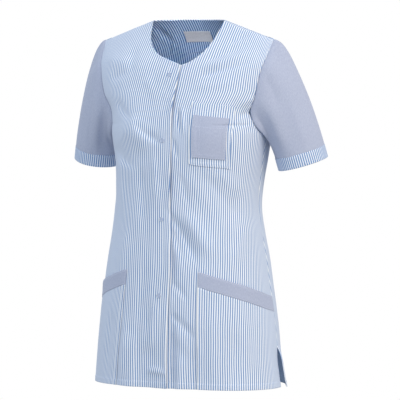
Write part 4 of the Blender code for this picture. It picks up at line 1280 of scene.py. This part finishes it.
def armholeLoop(side):
    # points of the armhole, down the front from the shoulder and up the back, with outward directions
    name = "front_left" if side > 0 else "front_right"
    rowAt = np.linspace(frontRows, underarm, 121)
    edge = panels[name]["grid"].shape[1] - 1
    frontHalf = refine(panels[name], rowAt[::-1], [edge])[::-1, 0]
    backHalf = refine(panels["back"], rowAt[::-1], [0 if side > 0 else backColumns])[:, 0]
    places = np.concatenate([frontHalf[:-1], backHalf[:-1]])
    points, normals = formPoint(places[:, 0], places[:, 1]), formNormal(places[:, 0], places[:, 1])
    along = unit(np.roll(points, -1, axis=0) - np.roll(points, 1, axis=0))
    away = unit(np.cross(along, normals))
    level = np.abs(away[:, 0]) > np.abs(away[:, 2])
    under = ~level & (away[:, 2] < 0) & (points[:, 2] < sleeve["lowerArmhole"])
    away[(level & (away[:, 0] * side < 0)) | under] *= -1
    return points + away * sleeve["armholeGap"], len(frontHalf) - 1


def sleevePoints(side):
    loop, half = armholeLoop(side)
    closed = np.concatenate([loop, loop[:1]])
    length = lengthAlong(closed, 0)
    count = sleeve["round"]
    turn = np.arange(count) * 2 * math.pi / count
    share = np.where(turn <= math.pi, turn / math.pi * length[half],
                     length[half] + (turn / math.pi - 1) * (length[-1] - length[half]))
    start = np.stack([np.interp(share, length, closed[:, k]) for k in range(3)], axis=-1)
    t = np.linspace(0, 1, sleeve["along"])[:, None, None]
    end = cuffPoints(turn, sleeve["cuffHeight"] + sleeve["seamGap"] + 0 * turn, side)
    axis = cuffAxis * (side, 1, 1)
    low = (1 - np.cos(turn)) / 2
    down = sleeve["leaveDown"][0] * np.abs(np.sin(turn)) + sleeve["leaveDown"][1] * low
    leave = unit(np.stack([side + 0 * turn, -sleeve["leaveForward"] * np.sin(turn), -down], axis=-1))
    leave *= mix(*sleeve["leaveReach"], low)[:, None]
    arrive = axis * mix(*sleeve["arriveReach"], low)[:, None]
    points = curveBetween(t, start, leave, end, arrive)
    middle = (cuffPoints(np.zeros(1), [sleeve["cuffHeight"]], side)
              + cuffPoints(np.full(1, math.pi), [sleeve["cuffHeight"]], side)) / 2
    out = unit(end - middle)
    t = t[..., 0]
    fade = ease(t / sleeve["foldFade"]) * (1 - sleeve["foldLoss"] * ease((t - 1) / sleeve["foldFade"] + 1))
    rise = 0
    for at, height, width in sleeve["folds"]:
        gap = (np.degrees(turn) - at + 180) % 360 - 180
        rise = rise + height * np.exp(-((gap / width) ** 2))
    fine = 0
    for which, turn1, t1, turn2, t2, height, width in sleeve["creases"]:
        if which != side:
            continue
        along = (t - t1) / (t2 - t1)
        gap = (np.degrees(turn) - turn1 - (turn2 - turn1) * along + 180) % 360 - 180
        ends = ease(along / sleeve["creaseStart"]) * ease((1 - along) / sleeve["creaseEnd"])
        fine = fine + height * ends * np.exp(-((gap / (width * mix(sleeve["creaseNarrow"], 1, ends))) ** 2))
    away = np.minimum(t, 1 - t) * sleeve["length"]
    soft = sleeve["uneven"] * unevenness(points) * ease(away / sleeve["heldNear"])
    fromSeam = t * sleeve["length"] + sleeve["rolledStart"]
    rolled = sleeve["rolled"] * (1 - ease(fromSeam / sleeve["rolledRun"]))  # the seam turns both cloths in
    return points + out * (rise * fade + fine + soft - rolled)[..., None], turn


for sideName, side in (("left", 1), ("right", -1)):
    outer, turn = sleevePoints(side)
    skin = surfaceNormals(outer, outer - outer.mean(axis=1, keepdims=True), ring=True)
    u = np.tile(turn * sleeve["across"], (len(outer), 1))
    v = lengthAlong(outer, 0)
    piece = clothShell("sleeve_" + sideName + "_cloth", outer, outer - skin * wall, np.stack([u, v], axis=-1),
                       materials["chambray_cloth"], ring=True)
    finishPiece(piece, "sleeve_" + sideName)

    backFromEnd = np.linspace(sleeve["cuffHeight"], 0, cuff["along"])[:, None] + 0 * turn
    outer, inner = (cuffPoints(turn + 0 * backFromEnd, backFromEnd, side, bulge)
                    for bulge in (cuff["proud"], cuff["proud"] - cuff["cloth"]))
    u = turn * sleeve["across"] * cuff["stripeStretch"] + 0 * backFromEnd
    # the cuff's cloth is the darker copy, painted shade
    piece = clothShell("cuff_" + sideName + "_cloth", outer, inner, np.stack([u, backFromEnd], axis=-1),
                       materials["striped_cuff"], ring=True)
    finishPiece(piece, "cuff_" + sideName)
    made["cuff_" + sideName] = {"outer": outer, "skin": unit(outer - outer.mean(axis=1, keepdims=True))}
print("sleeves and cuffs made")


# Studs

stud = {
    "heights": placket["studs"], "steps": 44, "lift": 0.0009, "mergeWithin": 0.000005,
    "profile": ((0.0, 0.95), (1.1, 0.93), (1.8, 0.82), (2.2, 0.62), (2.5, 0.50), (2.8, 0.55), (3.1, 0.85),
                (3.5, 1.25), (3.9, 1.38), (4.3, 1.25), (4.65, 0.88), (4.8, 0.50), (4.7, 0.16), (4.4, 0.0),
                (0.0, 0.0)),  # radius and height in millimetres, from the top's middle to the back's
}


def makeStud(number, z, s):
    turn = turnAt(np.zeros(1), z)
    base, normal = formPoint(turn, z)[0], formNormal(turn, np.array([z]))[0]
    rise = clothRise("front", base[None])[0] + lapLift(0.0, z) + s["lift"]
    place = Vector(base + normal * rise)
    spin = Vector((0, 0, 1)).rotation_difference(Vector(normal)).to_matrix()
    mesh = bpy.data.meshes.new("stud_%d_head" % number)
    bm = bmesh.new()
    verts = [bm.verts.new((r / 1000, 0, h / 1000)) for r, h in s["profile"]]
    for a, b in zip(verts, verts[1:]):
        bm.edges.new((a, b))
    bmesh.ops.spin(bm, geom=bm.verts[:] + bm.edges[:], cent=(0, 0, 0), axis=(0, 0, 1), angle=2 * math.pi,
                   steps=s["steps"], use_merge=True)
    bmesh.ops.remove_doubles(bm, verts=bm.verts, dist=s["mergeWithin"])
    bmesh.ops.recalc_face_normals(bm, faces=bm.faces)
    for vert in bm.verts:
        vert.co = place + spin @ vert.co
    bm.to_mesh(mesh)
    bm.free()
    mesh.shade_smooth()
    mesh.materials.append(materials["stud"])
    piece = newObject(mesh.name, mesh)
    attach(piece, "root")
    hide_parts("stud_%d" % number)


for number, z in enumerate(stud["heights"], 1):
    makeStud(number, z, stud)
print("studs made")


# Stitches

stitch = {"spacing": 0.0033, "length": 0.0025, "radius": 0.00022, "seed": 4, "sink": 0.00005,
          "halfFrom": 0.44, "halfTo": 0.52, "segments": 6, "rings": 4,
          "clear": 0.1,  # of a row or column, past a corner
          "patch": 0.0020, "edge": 0.0022, "join": 0.0030, "slit": 0.0070, "pocketHem": 0.0160,
          "penHem": 0.0220, "penDivide": 0.0150}  # how far each row of stitches lies from its edge


def stitchTree(s):
    # beads along the lines, each one a stitch, a little uneven in length
    tree = bpy.data.node_groups.new("stitches", "GeometryNodeTree")
    for name, kind in (("Geometry", "Geometry"), ("Spacing", "Float"), ("Length", "Float"),
                       ("Radius", "Float"), ("Seed", "Int"), ("Thread", "Material")):
        tree.interface.new_socket(name, in_out="INPUT", socket_type="NodeSocket" + kind)
    tree.interface.new_socket("Geometry", in_out="OUTPUT", socket_type="NodeSocketGeometry")
    add, link = tree.nodes.new, tree.links.new
    start, end = add("NodeGroupInput"), add("NodeGroupOutput")
    curve, points = add("GeometryNodeMeshToCurve"), add("GeometryNodeCurveToPoints")
    points.mode = "LENGTH"
    bead = add("GeometryNodeMeshUVSphere")
    for key, value in (("Segments", s["segments"]), ("Rings", s["rings"]), ("Radius", 1.0)):
        bead.inputs[key].default_value = value
    size, half = add("ShaderNodeCombineXYZ"), add("ShaderNodeMath")
    half.operation = "MULTIPLY"
    vary = add("FunctionNodeRandomValue")
    vary.data_type = "FLOAT"
    vary.inputs["Min"].default_value = s["halfFrom"]
    vary.inputs["Max"].default_value = s["halfTo"]
    place, real = add("GeometryNodeInstanceOnPoints"), add("GeometryNodeRealizeInstances")
    smooth, paint = add("GeometryNodeSetShadeSmooth"), add("GeometryNodeSetMaterial")
    for source, output, target, socket in (
            (start, "Geometry", curve, "Mesh"), (curve, "Curve", points, "Curve"),
            (start, "Spacing", points, "Length"), (start, "Seed", vary, "Seed"), (start, "Length", half, 0),
            (start, "Radius", size, "X"), (start, "Radius", size, "Y"), (half, 0, size, "Z"),
            (points, "Points", place, "Points"), (points, "Rotation", place, "Rotation"),
            (bead, "Mesh", place, "Instance"), (size, 0, place, "Scale"),
            (place, "Instances", real, "Geometry"), (real, "Geometry", smooth, "Geometry"),
            (smooth, "Geometry", paint, "Geometry"), (start, "Thread", paint, "Material"),
            (paint, "Geometry", end, "Geometry")):
        link(source.outputs[output], target.inputs[socket])
    link([o for o in vary.outputs if o.type == "VALUE" and o.enabled][0], half.inputs[1])
    return tree


def seamLine(name, key, away, keep):
    # the line on a piece at one distance from one of its edges
    piece = made[name]
    fields, sheet = piece["distance"], piece["outer"] + piece["skin"] * stitch["sink"]
    along, across = piece["rowAt"], piece["columnAt"]
    upright = key in ("first", "last")
    if not upright:
        fields = {edge: field.T for edge, field in fields.items()}
        sheet, along, across = sheet.swapaxes(0, 1), across, along
    step = 1 if fields[key][0, -1] > fields[key][0, 0] else -1
    line = []
    for k, at in enumerate(fields[key]):
        if at[::step][-1] < away:
            continue
        index = np.interp(away, at[::step], np.arange(len(at))[::step])
        i = min(int(index), len(at) - 2)
        here = {edge: mix(field[k][i], field[k][i + 1], index - i) for edge, field in fields.items()}
        place = (along[k], mix(across[i], across[i + 1], index - i))
        if keep(here, *(place if upright else place[::-1])):
            line.append(mix(sheet[k][i], sheet[k][i + 1], index - i))
    return np.array(line)


def ringLine(name, row):
    line = made[name]["outer"][row] + made[name]["skin"][row] * stitch["sink"]
    return np.concatenate([line, line[:1]])


keeps = {  # which part of an edge a row of stitches follows, by distances, row and column
    "all": lambda d, row, column: True,
    "belowNeck": lambda d, row, column: d["high"] > seams["neck"],
    "neck": lambda d, row, column: column < neckBreak,
    "shoulder": lambda d, row, column: column > neckBreak + stitch["clear"],
    "armhole": lambda d, row, column: row > underarm + stitch["clear"],
    "slit": lambda d, row, column: row < slitRow,
}
sideRows = (  # on each side: piece, edge, how far from it, and which part of it; a ring has its row instead
    ("front_", "low", seams["hem"], "all"),
    ("front_", "first", seams["placket"], "belowNeck"),
    ("front_", "first", stitch["edge"], "belowNeck"),
    ("front_", "high", seams["neck"], "neck"),
    ("front_", "high", stitch["join"], "shoulder"),
    ("front_", "last", stitch["join"], "armhole"),
    ("front_", "last", stitch["slit"], "slit"),
    ("hip_pocket_", "first", stitch["patch"], "all"),
    ("hip_band_", "low", stitch["patch"], "all"),
    ("hip_band_", "high", stitch["join"], "all"),
    ("hip_band_", "first", stitch["patch"], "all"),
    ("cuff_", "ring", 2, "all"),
    ("cuff_", "ring", -4, "all"),
)
backSlits = {"left": "first", "right": "last"}
otherRows = (
    ("back", "low", seams["hem"]),
    ("chest_pocket", "first", stitch["patch"]),
    ("chest_pocket", "low", stitch["patch"]),
    ("chest_pocket", "last", stitch["patch"]),
    ("chest_pen_pocket", "first", stitch["patch"]),
    ("chest_pen_pocket", "low", stitch["patch"]),
    ("chest_pen_pocket", "last", stitch["patch"]),
    ("chest_pocket", "high", stitch["pocketHem"]),
    ("chest_pen_pocket", "high", stitch["penHem"]),
    ("chest_pen_pocket", "first", stitch["penDivide"]),
    ("neck_facing", "low", stitch["patch"]),
)
lines = []
for side, backEdge in backSlits.items():
    for name, edge, away, part in sideRows:
        lines.append(ringLine(name + side, away) if edge == "ring"
                     else seamLine(name + side, edge, away, keeps[part]))
    lines.append(seamLine("back", backEdge, stitch["slit"], keeps["slit"]))
for name, edge, away in otherRows:
    lines.append(seamLine(name, edge, away, keeps["all"]))


def makeStitches(paths, s):
    points, edges = [], []
    for path in paths:
        if len(path) < 2:
            continue
        edges += [(len(points) + k, len(points) + k + 1) for k in range(len(path) - 1)]
        points += [tuple(p) for p in path]
    mesh = bpy.data.meshes.new("stitch_lines")
    mesh.from_pydata(points, edges, [])
    guide = newObject("stitch_lines", mesh)
    tree = stitchTree(s)
    sockets = {item.name: item.identifier for item in tree.interface.items_tree if item.in_out == "INPUT"}
    modifier = guide.modifiers.new("stitches", "NODES")
    modifier.node_group = tree
    for name, value in (("Spacing", s["spacing"]), ("Length", s["length"]), ("Radius", s["radius"]),
                        ("Seed", s["seed"]), ("Thread", materials["thread"])):
        modifier[sockets[name]] = value
    view = bpy.context.evaluated_depsgraph_get()
    sewn = bpy.data.meshes.new_from_object(guide.evaluated_get(view))
    guide.modifiers.remove(modifier)
    bpy.data.objects.remove(guide)
    piece = newObject("stitches", sewn)
    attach(piece, "root")
    return piece


sewn = makeStitches(lines, stitch)
print("stitches made:", len(sewn.data.polygons) // (stitch["segments"] * stitch["rings"]))
